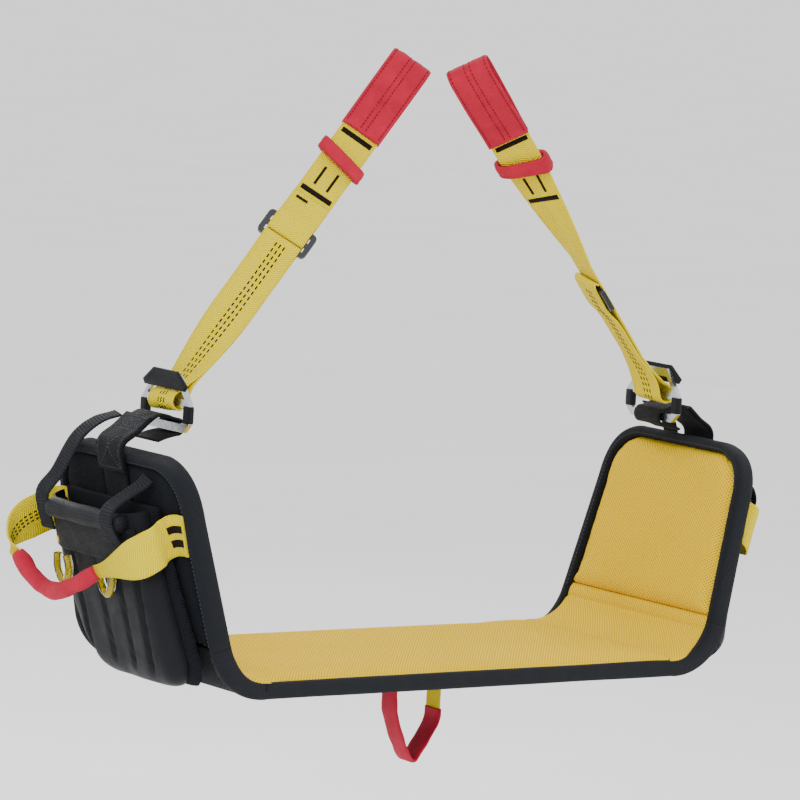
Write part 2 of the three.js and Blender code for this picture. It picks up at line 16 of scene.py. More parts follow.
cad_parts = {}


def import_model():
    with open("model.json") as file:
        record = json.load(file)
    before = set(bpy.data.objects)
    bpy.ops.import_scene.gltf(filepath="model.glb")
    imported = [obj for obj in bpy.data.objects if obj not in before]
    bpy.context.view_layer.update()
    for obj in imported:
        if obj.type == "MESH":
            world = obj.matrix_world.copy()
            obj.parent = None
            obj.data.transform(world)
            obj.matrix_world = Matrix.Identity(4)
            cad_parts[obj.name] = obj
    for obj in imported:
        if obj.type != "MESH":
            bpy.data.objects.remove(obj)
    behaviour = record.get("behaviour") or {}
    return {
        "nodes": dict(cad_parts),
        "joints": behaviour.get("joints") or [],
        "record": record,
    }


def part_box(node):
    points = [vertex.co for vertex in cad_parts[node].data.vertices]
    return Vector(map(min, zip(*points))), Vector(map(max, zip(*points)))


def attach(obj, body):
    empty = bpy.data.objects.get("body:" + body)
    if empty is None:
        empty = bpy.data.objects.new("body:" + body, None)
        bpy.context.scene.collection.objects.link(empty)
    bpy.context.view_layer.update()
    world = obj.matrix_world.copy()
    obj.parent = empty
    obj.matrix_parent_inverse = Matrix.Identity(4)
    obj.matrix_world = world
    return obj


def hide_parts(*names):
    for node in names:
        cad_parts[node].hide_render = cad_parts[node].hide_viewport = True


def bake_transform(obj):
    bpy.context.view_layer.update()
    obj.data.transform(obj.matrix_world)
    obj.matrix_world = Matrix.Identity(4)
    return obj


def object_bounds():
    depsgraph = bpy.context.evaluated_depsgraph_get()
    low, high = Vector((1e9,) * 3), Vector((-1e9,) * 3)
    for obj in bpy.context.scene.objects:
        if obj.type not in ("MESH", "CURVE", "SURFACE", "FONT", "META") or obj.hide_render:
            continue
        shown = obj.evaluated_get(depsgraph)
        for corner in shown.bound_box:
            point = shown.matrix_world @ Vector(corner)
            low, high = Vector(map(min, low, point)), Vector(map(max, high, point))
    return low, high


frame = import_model()
cad_low, cad_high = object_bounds()

MM = 0.001
SIDES = {"right": 1, "left": -1}

# ---------- sizes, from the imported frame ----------

JOINTS = {j["name"]: j for j in frame["joints"]}
FACE_AXIS = next(m for m in frame["record"]["mounts"] if m["name"] == "right_wing_face")["axis"]
SEAT_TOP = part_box("seat_pad")[1].z
FLARE = math.atan2(FACE_AXIS[2], -FACE_AXIS[0])
CORNER = JOINTS["right_wing_fold"]["pos_m"][0] / MM
RING_OUT = JOINTS["right_riser_swing"]["pos_m"][0] / MM
CROSSBAR = (JOINTS["right_riser_swing"]["pos_m"][2] - SEAT_TOP) / MM
REAR_LOW, REAR_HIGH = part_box("seat_rear_binding")
HALF_DEPTH = REAR_HIGH.y / MM
FLAT_HALF = REAR_HIGH.x / MM
PANEL = (REAR_HIGH.z - REAR_LOW.z) / MM
WING_HEIGHT = (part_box("right_wing_binding")[1].z - SEAT_TOP) / MM / math.cos(FLARE)

# ---------- sizes that the frame doesn't state ----------

BINDING = 13
FOLD_RUN = 36
FOLD_RADIUS = FOLD_RUN / math.tan((math.pi / 2 - FLARE) / 2)
WING_TAPER = 12
WING_CORNER = 66
CREASE_UP = 43
PAD = 12
WEB_WIDTH = 45
WEB_THICKNESS = 2.2
HARNESS = 3
RIBBED_WIDTH = 25
RIBBED_THICKNESS = 2.5
POUCH_TOP = 186
POUCH_BOTTOM = -4
POUCH_REAR = 88
POUCH_FRONT_TOP = -74
POUCH_FRONT_LOW = -106
POUCH_CORNER = 58
POUCH_TAPER = 125
POUCH_CUT = 80
POUCH_PAD_OUT = 26.2
POUCH_PAD = 11
POUCH_OUT = 37.5
POUCH_FACE = 63.5
ROLL_RADIUS = 6
ROLL_SIZE = 22
BAND_LOW = 132
BAND_HIGH = 170
SLEEVE_RADIUS = 9
GEAR_UP = 160
GEAR_Y = 124
GEAR_SHIFT = 6
TUBE_RADIUS = 4
LAYER = 1.8
ADJUSTER = {"left": 229, "right": 150}
ADJUSTER_TWIST = {"left": math.radians(52), "right": math.radians(-12)}
TOP_TWIST = {"left": math.radians(57), "right": math.radians(50)}
RISER_LENGTH = 479.5
LOOP_LENGTH = 104
LOOP_WIDTH = 48
LOOP_DEPTH = 26
LOOP_WALL = 4.4
KEEPER_BELOW = 40
BAR_RADIUS = 8
LOWER_BAR_DROP = 26
LOWER_BAR_RADIUS = 7
PATCH_WIDTH = 50
CORD = 4.4
UNDER_SPREAD = 30
UNDER_DROP = 94
DASH = 7


# ---------- shape helpers ----------


def world(points):
    return np.asarray(points, float) * MM + np.array([0, 0, SEAT_TOP])


def unit(vectors):
    return vectors / np.linalg.norm(vectors, axis=-1, keepdims=True)


def smooth(x):
    x = np.clip(x, 0, 1)
    return x * x * (3 - 2 * x)


def route(points, steps):
    """Centripetal Catmull-Rom curve through the points, at even distances."""
    p = np.asarray(points, float)
    p = np.vstack([2 * p[0] - p[1], p, 2 * p[-1] - p[-2]])
    fine = []
    for a, b, c, d in zip(p, p[1:], p[2:], p[3:]):
        gaps = [np.linalg.norm(b - a), np.linalg.norm(c - b), np.linalg.norm(d - c)]
        k = np.cumsum([0, *np.sqrt(gaps)])
        t = np.linspace(k[1], k[2], 24, endpoint=False)[:, None]
        ab = ((k[1] - t) * a + (t - k[0]) * b) / (k[1] - k[0])
        bc = ((k[2] - t) * b + (t - k[1]) * c) / (k[2] - k[1])
        cd = ((k[3] - t) * c + (t - k[2]) * d) / (k[3] - k[2])
        abc = ((k[2] - t) * ab + (t - k[0]) * bc) / (k[2] - k[0])
        bcd = ((k[3] - t) * bc + (t - k[1]) * cd) / (k[3] - k[1])
        fine.append(((k[2] - t) * abc + (t - k[1]) * bcd) / (k[2] - k[1]))
    fine = np.vstack([*fine, p[-2:-1]])
    far = np.cumsum([0, *np.linalg.norm(np.diff(fine, axis=0), axis=1)])
    even = np.linspace(0, far[-1], steps + 1)
    return np.stack([np.interp(even, far, fine[:, i]) for i in range(3)], 1)


class Path:
    """A curve with its own directions: along it, across it (its width) and normal to both."""

    def __init__(self, points, side, steps=60):
        self.points = route(points, steps)
        self.along = unit(np.gradient(self.points, axis=0))
        side = np.asarray(side, float)
        self.across = unit(side - (self.along @ side)[:, None] * self.along)
        self.normal = np.cross(self.along, self.across)
        gaps = np.linalg.norm(np.diff(self.points, axis=0), axis=1)
        self.far = np.cumsum([0, *gaps])
        self.length = self.far[-1]

    def at(self, far, across=0.0, lift=0.0):
        """Points at these distances along the curve, moved across it and lifted off it."""
        far = np.asarray(far, float)
        pick = lambda rows: np.stack([np.interp(far, self.far, rows[:, i]) for i in range(3)], -1)
        across = np.asarray(across, float)[..., None]
        lift = np.asarray(lift, float)[..., None]
        return pick(self.points) + across * pick(self.across) + lift * pick(self.normal)


class Mesh:
    """Points, faces and a cloth map in metres, gathered until they are built as one piece."""

    def __init__(self):
        self.points, self.faces, self.uv = [], [], []

    def grid(self, rows, u, v, closed=False):
        """Faces over rows of points; a closed grid joins each row's end to its start."""
        rows = np.asarray(rows, float)
        n, m = rows.shape[:2]
        base = len(self.points)
        self.points += rows.reshape(-1, 3).tolist()
        for i in range(n - 1):
            for j in range(m if closed else m - 1):
                k = (j + 1) % m
                here, there = base + i * m, base + (i + 1) * m
                self.faces.append((here + j, here + k, there + k, there + j))
                self.uv += [(u[j], v[i]), (u[j + 1], v[i]), (u[j + 1], v[i + 1]), (u[j], v[i + 1])]
        return base

    def tube(self, rows, u, v):
        """A closed grid with a flat cap at each end."""
        n, m = np.asarray(rows).shape[:2]
        base = self.grid(rows, u, v, closed=True)
        for start, turn in ((base, -1), (base + (n - 1) * m, 1)):
            self.faces.append(tuple(range(start, start + m))[::turn])
            self.uv += [(u[j], v[0]) for j in range(m)]
        return self

    def slab(self, top, bottom, u, v):
        """A closed sheet between two grids of the same size."""
        top, bottom = np.asarray(top, float), np.asarray(bottom, float)
        n, m = top.shape[:2]
        a = self.grid(top, u, v)
        b = self.grid(bottom, u, v)
        rim = [*range(m), *[i * m + m - 1 for i in range(1, n)]]
        rim += [(n - 1) * m + j for j in range(m - 2, -1, -1)]
        rim += [i * m for i in range(n - 2, 0, -1)]
        for i, j in zip(rim, rim[1:] + rim[:1]):
            self.faces.append((a + i, b + i, b + j, a + j))
            self.uv += [(u[k % m], v[k // m]) for k in (i, i, j, j)]
        return self

    def build(self, name, material, side=1):
        points = np.asarray(self.points, float) * [side, 1, 1]
        mesh = bpy.data.meshes.new(name)
        mesh.from_pydata(world(points).tolist(), [], self.faces)
        layer = mesh.uv_layers.new(name="cloth")
        layer.uv.foreach_set("vector", (np.asarray(self.uv, np.float32) * MM).ravel())
        work = bmesh.new()
        work.from_mesh(mesh)
        bmesh.ops.recalc_face_normals(work, faces=work.faces)
        for face in work.faces:
            face.smooth = len(face.verts) < 5
        work.to_mesh(mesh)
        work.free()
        mesh.materials.append(material)
        piece = bpy.data.objects.new(name, mesh)
        bpy.context.scene.collection.objects.link(piece)
        return piece


def flat_ring(width, thickness, points=9):
    """Section of a strap: two faces and rounded edges."""
    edge = min(thickness, width) / 2
    x = np.linspace(-width / 2 + edge * 0.7, width / 2 - edge * 0.7, points)
    ring = [(-width / 2, 0), *[(k, thickness / 2) for k in x], (width / 2, 0)]
    return np.array(ring + [(k, -thickness / 2) for k in x[::-1]])


def soft_ring(width, height, power=3.0, points=20):
    turn = np.linspace(0, 2 * math.pi, points, endpoint=False)
    x = np.sign(np.cos(turn)) * np.abs(np.cos(turn)) ** (2 / power) * width / 2
    y = np.sign(np.sin(turn)) * np.abs(np.sin(turn)) ** (2 / power) * height / 2
    return np.stack([x, y], 1)


def ring_map(ring):
    """The cloth map's first number round a ring: across for a flat strap, round for the rest."""
    closed = np.vstack([ring, ring[:1]])
    return np.cumsum([0, *np.linalg.norm(np.diff(closed, axis=0), axis=1)])


def sweep(mesh, path, ring_at, flat=False):
    """Adds a section swept along the path. ring_at gives the section at each distance."""
    rings = np.stack([ring_at(far) for far in path.far])
    rows = (
        path.points[:, None]
        + rings[:, :, :1] * path.across[:, None]
        + rings[:, :, 1:] * path.normal[:, None]
    )
    u = [*rings[0][:, 0], rings[0][0, 0]] if flat else ring_map(rings[0])
    mesh.tube(rows, u, path.far)
    return mesh


def strap(path, width, thickness):
    return sweep(Mesh(), path, lambda far: flat_ring(width, thickness), flat=True)


def loft(path, fars, rings, flat=False):
    """A closed tube through one section at each of these distances along the path."""
    rows = [path.at(np.full(len(ring), far), *ring.T) for far, ring in zip(fars, rings)]
    last = rings[-1]
    return Mesh().tube(np.array(rows), [*last[:, 0], last[0, 0]] if flat else ring_map(last), fars)


def dash(mesh, path, far, across, length, width=1.0, lift=1.1, height=0.45):
    """One raised stitch that lies along the path."""
    ends = [far, far + length * 0.25, far + length * 0.75, far + length]
    tall = [0.0, height, height, 0.0]
    rows = []
    for f, h in zip(ends, tall):
        sides = [-width / 2, -width / 4, width / 4, width / 2]
        rows.append([path.at(f, across + s, lift + h * k) for s, k in zip(sides, (0, 1, 1, 0))])
    rows = np.array(rows)
    floor = np.array([[path.at(f, across + s, lift - 0.25) for s in sides] for f in ends])
    mesh.slab(rows, floor, [0, 1, 2, 3], ends)


def dash_rows(path, spots, start, end, lift, period=DASH, share=0.6, width=1.7):
    mesh = Mesh()
    for far in np.arange(start, end - period * share, period):
        for spot in spots:
            dash(mesh, path, far, spot, period * share, width, lift)
    return mesh


def tack(mesh, path, start, end, left, right, lift, ridge=1.5):
    """A dense bar tack: a raised block of close ridges."""
    fars = np.linspace(start, end, max(4, int((end - start) / 1.5)))
    spots = np.linspace(left, right, max(4, int((right - left) / (ridge / 4))))
    f, s = np.meshgrid(fars, spots, indexing="ij")
    edge = np.minimum(np.minimum(f - start, end - f), np.minimum(s - left, right - s))
    height = 0.75 * smooth(edge / 0.8) + 0.3 * np.abs(np.sin(math.pi * s / ridge + 0.7 * np.sin(f)))
    top = path.at(f, s, lift + height)
    mesh.slab(top, path.at(f, s, lift - 0.2), spots, fars)
    return mesh


def on_wing(back, up, out):
    """Points of the right wing from its own measures, which broadcast together."""
    back, up, out = np.broadcast_arrays(*(np.asarray(k, float) for k in (back, up, out)))
    x = CORNER + out * math.cos(FLARE) + up * math.sin(FLARE)
    z = -out * math.sin(FLARE) + up * math.cos(FLARE)
    return np.stack([x, back, z], -1)


def wing_path(points, side, steps=60):
    return Path([on_wing(*p) for p in points], side, steps)


def ripple(points, size, depth):
    """Small uneven waves in cloth, the same on every run."""
    flat = np.asarray(points, float).reshape(-1, 3)
    values = [noise.noise(Vector(p) / size) for p in flat]
    return depth * np.array(values).reshape(np.asarray(points).shape[:-1])


WING_UP = np.array([math.sin(FLARE), 0, math.cos(FLARE)])
WING_OUT = np.array([math.cos(FLARE), 0, -math.sin(FLARE)])
BACK = np.array([0, 1.0, 0])


# ---------- materials ----------


class Shader:
    """A Principled material, put together node by node."""

    def __init__(self, name, roughness, metallic=0.0, sheen=0.0, specular=0.5):
        self.material = bpy.data.materials.new(name)
        self.material.use_nodes = True
        self.tree = self.material.node_tree
        self.shader = self.tree.nodes["Principled BSDF"]
        self.shader.inputs["Roughness"].default_value = roughness
        self.shader.inputs["Metallic"].default_value = metallic
        self.shader.inputs["Specular IOR Level"].default_value = specular
        if sheen:
            self.shader.inputs["Sheen Weight"].default_value = sheen
            self.shader.inputs["Sheen Roughness"].default_value = 0.5

    def node(self, kind, **settings):
        made = self.tree.nodes.new("ShaderNode" + kind)
        for key, value in settings.items():
            setattr(made, key, value)
        return made

    def feed(self, socket, value):
        if isinstance(value, bpy.types.NodeSocket):
            self.tree.links.new(value, socket)
        else:
            socket.default_value = value

    def math(self, operation, a, b=0.0, c=0.0):
        made = self.node("Math", operation=operation)
        for socket, value in zip(made.inputs, (a, b, c)):
            self.feed(socket, value)
        return made.outputs[0]

    def cloth(self):
        """The cloth map's two numbers, in metres: across or round, and along."""
        source = self.node("UVMap", uv_map="cloth")
        parts = self.node("SeparateXYZ")
        self.feed(parts.inputs[0], source.outputs[0])
        return parts.outputs[0], parts.outputs[1]

    def wave(self, value, pitch, shift=0.0):
        turns = self.math("MULTIPLY_ADD", value, 2 * math.pi / pitch, shift)
        return self.math("SINE", turns)

    def place(self):
        return self.node("TexCoord").outputs["Object"]

    def noise(self, scale, detail=4.0, rough=0.55, where=None):
        made = self.node("TexNoise")
        self.feed(made.inputs["Vector"], where or self.place())
        made.inputs["Scale"].default_value = scale
        made.inputs["Detail"].default_value = detail
        made.inputs["Roughness"].default_value = rough
        return made.outputs["Fac"]

    def mix(self, share, a, b):
        made = self.node("Mix", data_type="RGBA")
        self.feed(made.inputs["Factor"], share)
        self.feed(made.inputs["A"], a)
        self.feed(made.inputs["B"], b)
        return made.outputs["Result"]

    def between(self, value, low, high, to_low=0.0, to_high=1.0):
        made = self.node("MapRange")
        self.feed(made.inputs["Value"], value)
        keys = ("From Min", "From Max", "To Min", "To Max")
        for key, number in zip(keys, (low, high, to_low, to_high)):
            made.inputs[key].default_value = number
        return made.outputs[0]

    def colour(self, value):
        self.feed(self.shader.inputs["Base Color"], value)

    def roughness(self, value):
        self.feed(self.shader.inputs["Roughness"], value)

    def bump(self, height, distance, strength=1.0):
        made = self.node("Bump")
        made.inputs["Strength"].default_value = strength
        made.inputs["Distance"].default_value = distance
        self.feed(made.inputs["Height"], height)
        self.feed(self.shader.inputs["Normal"], made.outputs[0])


def rgb(code, scale=1.0):
    """A colour from its usual six hex digits, as linear light."""
    parts = [int(code[i : i + 2], 16) / 255 for i in (0, 2, 4)]
    linear = lambda p: p / 12.92 if p < 0.04045 else ((p + 0.055) / 1.055) ** 2.4
    return (*[scale * linear(p) for p in parts], 1.0)


def webbing_material(name, colour, rib=1.9, column=5.5, sheen=0.2, roughness=0.62, groove_shade=0.62):
    """Woven webbing: fine ribs across it that zigzag between columns along it."""
    s = Shader(name, roughness, sheen=sheen, specular=0.12)
    u, v = s.cloth()
    zigzag = s.math("PINGPONG", u, column * MM / 2)
    rows = s.wave(s.math("MULTIPLY_ADD", zigzag, 0.55, v), rib * MM)
    threads = s.wave(u, 0.9 * MM)
    height = s.math("MULTIPLY_ADD", threads, 0.25, rows)
    uneven = s.noise(55, 5)
    # The weave's grooves, where the bump is low, are painted darker: painted shade between the
    # ribs.
    low, high = rgb(colour, groove_shade), rgb(colour)
    base = s.mix(s.between(height, -1.1, 0.5), low, high)
    worn = s.mix(s.between(uneven, 0.35, 0.75, 0.0, 0.3), base, rgb(colour, 0.78))
    s.colour(worn)
    s.roughness(s.between(uneven, 0.3, 0.7, roughness - 0.08, roughness + 0.12))
    s.bump(s.math("MULTIPLY_ADD", uneven, 0.5, height), 0.7 * MM, 0.9)
    return s.material


def mesh_material(name, colour, hole_shade, pitch=4.6, sheen=0.3):
    """Spacer mesh: staggered small holes with rounded yarn between them."""
    s = Shader(name, 0.85, sheen=sheen, specular=0.08)
    u, v = s.cloth()
    cells = s.math("MULTIPLY", s.wave(u, pitch * MM), s.wave(v, pitch * MM * 0.8))
    fuzz = s.noise(900, 3)
    blotch = s.noise(18, 3)
    # The holes are painted in the darker colour: painted shade inside each hole, where the bump
    # dips.
    depth = s.between(cells, 0.1, 0.75)
    base = s.mix(depth, rgb(colour), rgb(hole_shade))
    soft = s.mix(s.between(blotch, 0.3, 0.75, 0.0, 0.35), base, rgb(colour, 0.72))
    s.colour(s.mix(s.between(fuzz, 0.4, 0.8, 0.0, 0.25), soft, rgb(colour, 1.12)))
    s.roughness(s.between(blotch, 0.3, 0.7, 0.78, 0.95))
    s.bump(s.math("MULTIPLY_ADD", fuzz, 0.3, s.math("MULTIPLY", cells, -1.0)), 0.6 * MM, 0.8)
    return s.material


def plain_material(name, colour, pitch=1.1, roughness=0.7, sheen=0.2, spread=0.75):
    """Plain woven cloth with a soft crumple."""
    s = Shader(name, roughness, sheen=sheen, specular=0.15)
    u, v = s.cloth()
    weave = s.math("MULTIPLY", s.wave(u, pitch * MM), s.wave(v, pitch * MM))
    crumple = s.noise(38, 6, 0.6)
    # The weave's low points are painted darker: painted shade between the threads.
    base = s.mix(s.between(weave, -1.0, 1.0), rgb(colour, 0.8), rgb(colour))
    s.colour(s.mix(s.between(crumple, 0.35, 0.7, 0.0, 0.6), base, rgb(colour, spread)))
    s.roughness(s.between(crumple, 0.3, 0.7, roughness - 0.12, roughness + 0.1))
    s.bump(s.math("MULTIPLY_ADD", crumple, 4.0, weave), 0.3 * MM, 0.7)
    return s.material


def ribbed_material(name, colour, rib, roughness=0.72):
    """Tape with bold ribs across it."""
    s = Shader(name, roughness, sheen=0.02, specular=0.15)
    u, v = s.cloth()
    rows = s.wave(v, rib * MM)
    threads = s.wave(u, 1.0 * MM)
    uneven = s.noise(70, 5)
    # The rib troughs are painted darker and the crests lighter: painted shade and painted highlight
    # along the ribs, which are also the bump.
    base = s.mix(s.between(rows, -0.9, 0.9), rgb(colour, 0.45), rgb(colour, 1.15))
    s.colour(s.mix(s.between(uneven, 0.35, 0.75, 0.0, 0.35), base, rgb(colour, 1.5)))
    s.roughness(s.between(uneven, 0.3, 0.7, roughness - 0.1, roughness + 0.1))
    s.bump(s.math("MULTIPLY_ADD", threads, 0.2, rows), 0.4 * MM, 0.9)
    return s.material


def steel_material():
    s = Shader("steel", 0.25, metallic=1.0)
    brushed = s.noise(260, 6, 0.7)
    smudge = s.noise(22, 4)
    s.colour(s.mix(s.between(smudge, 0.35, 0.7), rgb("d3d6da"), rgb("a3a7ac")))
    s.roughness(s.between(brushed, 0.3, 0.7, 0.16, 0.38))
    s.bump(brushed, 0.04 * MM, 0.4)
    return s.material


def painted_material():
    s = Shader("black_metal", 0.4, metallic=0.35)
    grain = s.noise(420, 5)
    wear = s.noise(60, 5)
    s.colour(s.mix(s.between(wear, 0.6, 0.72, 0.0, 0.5), rgb("1a1b1e"), rgb("4a4c50")))
    s.roughness(s.between(grain, 0.3, 0.7, 0.3, 0.5))
    s.bump(grain, 0.06 * MM, 0.5)
    return s.material


def board_material():
    s = Shader("board", 0.65)
    place = s.node("Mapping")
    place.inputs["Scale"].default_value = (3, 60, 60)
    s.feed(place.inputs["Vector"], s.place())
    grain = s.noise(6, 6, 0.6, place.outputs[0])
    s.colour(s.mix(s.between(grain, 0.3, 0.7), rgb("7a6548"), rgb("4e3d2a")))
    s.bump(grain, 0.2 * MM, 0.5)
    return s.material


def thread_material(name, colour):
    s = Shader(name, 0.6, sheen=0.02, specular=0.1)
    u, v = s.cloth()
    twist = s.wave(s.math("ADD", u, v), 0.8 * MM)
    # The twist's grooves are painted darker and its ridges lighter: painted shade and painted
    # highlight along the twist, which is also the bump.
    s.colour(s.mix(s.between(twist, -1, 1), rgb(colour, 0.7), rgb(colour, 1.2)))
    s.bump(twist, 0.12 * MM, 0.6)
    return s.material


def clear_material():
    s = Shader("clear_tube", 0.12)
    s.shader.inputs["Transmission Weight"].default_value = 1.0
    s.shader.inputs["IOR"].default_value = 1.4
    cloud = s.noise(90, 4)
    s.colour(s.mix(s.between(cloud, 0.35, 0.7), rgb("fbfaf0"), rgb("e3e0c8")))
    s.roughness(s.between(cloud, 0.3, 0.7, 0.02, 0.12))
    return s.material


def floor_material():
    s = Shader("studio_floor", 0.9)
    s.colour(s.mix(s.between(s.noise(3, 3), 0.3, 0.7), rgb("fbfbfb"), rgb("f7f7f7")))
    return s.material


LOOKS = {
    # The third colour of each mesh look is the painted shade inside its holes.
    "yellow_mesh": mesh_material("yellow_mesh", "e6be00", "8a6a00", sheen=0.02),
    "yellow_webbing": webbing_material("yellow_webbing", "ffe600", rib=2.7, column=22, sheen=0.02),
    "red_cloth": plain_material("red_cloth", "bf1a38", spread=0.6, sheen=0.03),
    "black_mesh": mesh_material("black_mesh", "13161c", "020203", pitch=4.0, sheen=0.02),
    "black_cloth": plain_material("black_cloth", "0c0f14", roughness=0.5, spread=1.6, sheen=0.02),
    "black_webbing": webbing_material(
        "black_webbing", "101318", roughness=0.6, groove_shade=0.4, sheen=0.02
    ),
    "black_ribbed": ribbed_material("black_ribbed", "14171d", 3.4),
    "black_binding": ribbed_material("black_binding", "171a20", 1.3, 0.75),
    "steel": steel_material(),
    "black_metal": painted_material(),
    "board": board_material(),
    "clear_tube": clear_material(),
    "dark_thread": thread_material("dark_thread", "120907"),
    "grey_thread": thread_material("grey_thread", "3a4049"),
    "red_thread": thread_material("red_thread", "6e0f18"),
    "white_thread": thread_material("white_thread", "e9e4d2"),
    "yellow_plastic": thread_material("yellow_plastic", "e8c821"),
}


def finish_piece(mesh, name, look, body=None, nodes=(), bend=None, side=1):
    """Builds a piece, puts it on its body unless it is given a bend, and hides the CAD nodes it
    stands for.
    """
    piece = mesh.build(name, LOOKS[look], side)
    if bend:
        set_bend(piece, *bend)
    else:
        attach(piece, body)
    if nodes:
        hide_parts(*nodes)
    return piece


def finish_side(mesh, side_name, name, look, body="wing", node=None, bend=None):
    """The same for a side part, whose piece, body and CAD node are all named after their side."""
    nodes = [f"{side_name}_{node}"] if node else []
    full = f"{side_name}_{name}"
    return finish_piece(mesh, full, look, f"{side_name}_{body}", nodes, bend, SIDES[side_name])


def set_bend(piece, a, b, start, end):
    world(start).tolist()
    world(end).tolist()
    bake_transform(piece)


# ---------- padded panels ----------


def inflate(piece, pressure, cap, hold=None, voxel=5.0):
    """Swells a closed pad as cloth under pressure, moving no point more than cap millimetres."""
    bpy.context.view_layer.objects.active = piece
    remesh = piece.modifiers.new("remesh", "REMESH")
    remesh.mode = "VOXEL"
    remesh.voxel_size = voxel * MM
    depsgraph = bpy.context.evaluated_depsgraph_get()
    fresh = bpy.data.meshes.new_from_object(piece.evaluated_get(depsgraph))
    fresh.materials.clear()
    fresh.materials.append(piece.data.materials[0])
    piece.modifiers.clear()
    piece.data = fresh
    rest = np.array([v.co for v in fresh.vertices])
    cloth = piece.modifiers.new("cloth", "CLOTH")
    cloth.settings.use_pressure = True
    cloth.settings.uniform_pressure_force = pressure
    cloth.settings.effector_weights.gravity = 0
    scene = bpy.context.scene
    for step in range(1, 21):
        scene.frame_set(step)
    depsgraph = bpy.context.evaluated_depsgraph_get()
    swollen = np.array([v.co for v in piece.evaluated_get(depsgraph).data.vertices])
    piece.modifiers.clear()
    scene.frame_set(1)
    move = swollen - rest
    size = np.linalg.norm(move, axis=1, keepdims=True)
    move *= np.minimum(1, cap * MM / np.maximum(size, 1e-9))
    if hold:
        move *= hold((rest - [0, 0, SEAT_TOP]) / MM)[:, None]
    fresh.vertices.foreach_set("co", (rest + move).ravel())
    fresh.update()


def map_flat(piece, across, along):
    """Lays the cloth map on a remeshed piece along two directions."""
    mesh = piece.data
    layer = mesh.uv_layers.get("cloth") or mesh.uv_layers.new(name="cloth")
    points = np.array([v.co for v in mesh.vertices])
    corner = np.zeros(len(mesh.loops), np.int32)
    mesh.loops.foreach_get("vertex_index", corner)
    uv = np.stack([points @ across, points @ along], 1)[corner]
    layer.uv.foreach_set("vector", uv.astype(np.float32).ravel())


def press(piece, depth_at, direction):
    """Moves the piece's points along a direction by depth_at of their place, in millimetres."""
    mesh = piece.data
    points = np.array([v.co for v in mesh.vertices])
    depth = depth_at((points - [0, 0, SEAT_TOP]) / MM)
    mesh.vertices.foreach_set("co", (points + depth[:, None] * MM * direction).ravel())
    mesh.update()


def soften(piece, levels=1):
    mesh = piece.data
    mesh.polygons.foreach_set("use_smooth", [True] * len(mesh.polygons))
    more = piece.modifiers.new("smoother", "SUBSURF")
    more.levels = more.render_levels = levels


def mirrored_copy(piece, name):
    """The left-hand twin of a finished right-hand piece."""
    twin = piece.copy()
    twin.data = piece.data.copy()
    twin.name = name
    bpy.context.scene.collection.objects.link(twin)
    twin.data.transform(Matrix.Scale(-1, 4, Vector((1, 0, 0))))
    twin.data.flip_normals()
    return twin


def finish_pads(piece, name, node):
    """Maps and softens a right-hand pad, copies it for the left and puts both on their wings."""
    map_flat(piece, BACK, WING_UP)
    soften(piece)
    twin = mirrored_copy(piece, f"left_{name}")
    piece.name = f"right_{name}"
    for side, made in (("right", piece), ("left", twin)):
        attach(made, f"{side}_wing")
        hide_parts(f"{side}_{node}")


def edge_dome(distance, roll):
    """Height from 0 at a panel's edge to 1 at roll inside it, round like a quarter circle."""
    k = np.clip(distance / roll, 0, 1)
    return np.sqrt(1 - (1 - k) ** 2)


def half_round(count):
    """Shares from -1 to 1, closer together at both ends."""
    return np.sin(np.linspace(-math.pi / 2, math.pi / 2, count))


def make_seat_cushion():
    """The yellow mesh over the seat, rolled over its front and rear edges."""
    end = FLAT_HALF - 1
    front = HALF_DEPTH - 2
    x = half_round(80) * end
    y = half_round(46) * front
    xs, ys = np.meshgrid(x, y, indexing="ij")
    dome = edge_dome(front - np.abs(ys), 11)
    top = -1.5 - 7.5 * (1 - dome)
    foot = np.full_like(top, -PAD) + 1.0 * dome
    mesh = Mesh().slab(np.stack([xs, ys, top], -1), np.stack([xs, ys, foot], -1), y, x)
    piece = mesh.build("seat_cushion", LOOKS["yellow_mesh"])
    free = lambda p: smooth((end - np.abs(p[:, 0])) / 25) * (p[:, 2] > -8)
    inflate(piece, 4.0, 3.0, free)
    map_flat(piece, BACK, np.array([1.0, 0, 0]))
    lift_ends = lambda p: (p[:, 2] > -6) * 1.5 * smooth((np.abs(p[:, 0]) - end + 25) / 25)
    press(piece, lift_ends, np.array([0, 0, 1.0]))
    soften(piece)
    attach(piece, "seat")
    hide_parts("seat_pad")


def wing_half(up, inset):
    """Half the wing's depth at a height, inside its outline by inset."""
    half = HALF_DEPTH - inset
    top = WING_HEIGHT - inset
    run = WING_CORNER - inset
    shoulder = half - WING_TAPER
    up = np.asarray(up, float)
    straight = half + (shoulder - half) * np.clip((up - FOLD_RUN) / (top - run - FOLD_RUN), 0, 1)
    share = 1 - np.sqrt(np.clip((top - up) / run, 0, 1))
    return np.where(up > top - run, shoulder - run * share**2, straight)


def wing_panel(inset, foot, face, back, roll, crown, rows=56, columns=40):
    """A closed pad over the wing between two distances out, domed on the side of its face."""
    top = WING_HEIGHT - inset
    up = foot + (top - foot) * (half_round(rows) + 1) / 2
    share = half_round(columns)
    ups, shares = np.meshgrid(up, share, indexing="ij")
    half = wing_half(ups, inset)
    across = shares * half
    edge = np.minimum(half - np.abs(across), np.minimum(4 * (ups - foot), top - ups))
    dome = edge_dome(edge, roll)
    lift = face + (back - face) * 0.75 * (1 - dome) + crown * np.minimum(edge / 60, 1)
    front = on_wing(across, ups, lift)
    rear = on_wing(across, ups, back)
    return Mesh().slab(front, rear, share * HALF_DEPTH, up)


def wing_measures(points):
    """Back, up and out of points on the right wing."""
    from_corner = points - [CORNER, 0, 0]
    return points[:, 1], from_corner @ WING_UP, from_corner @ WING_OUT


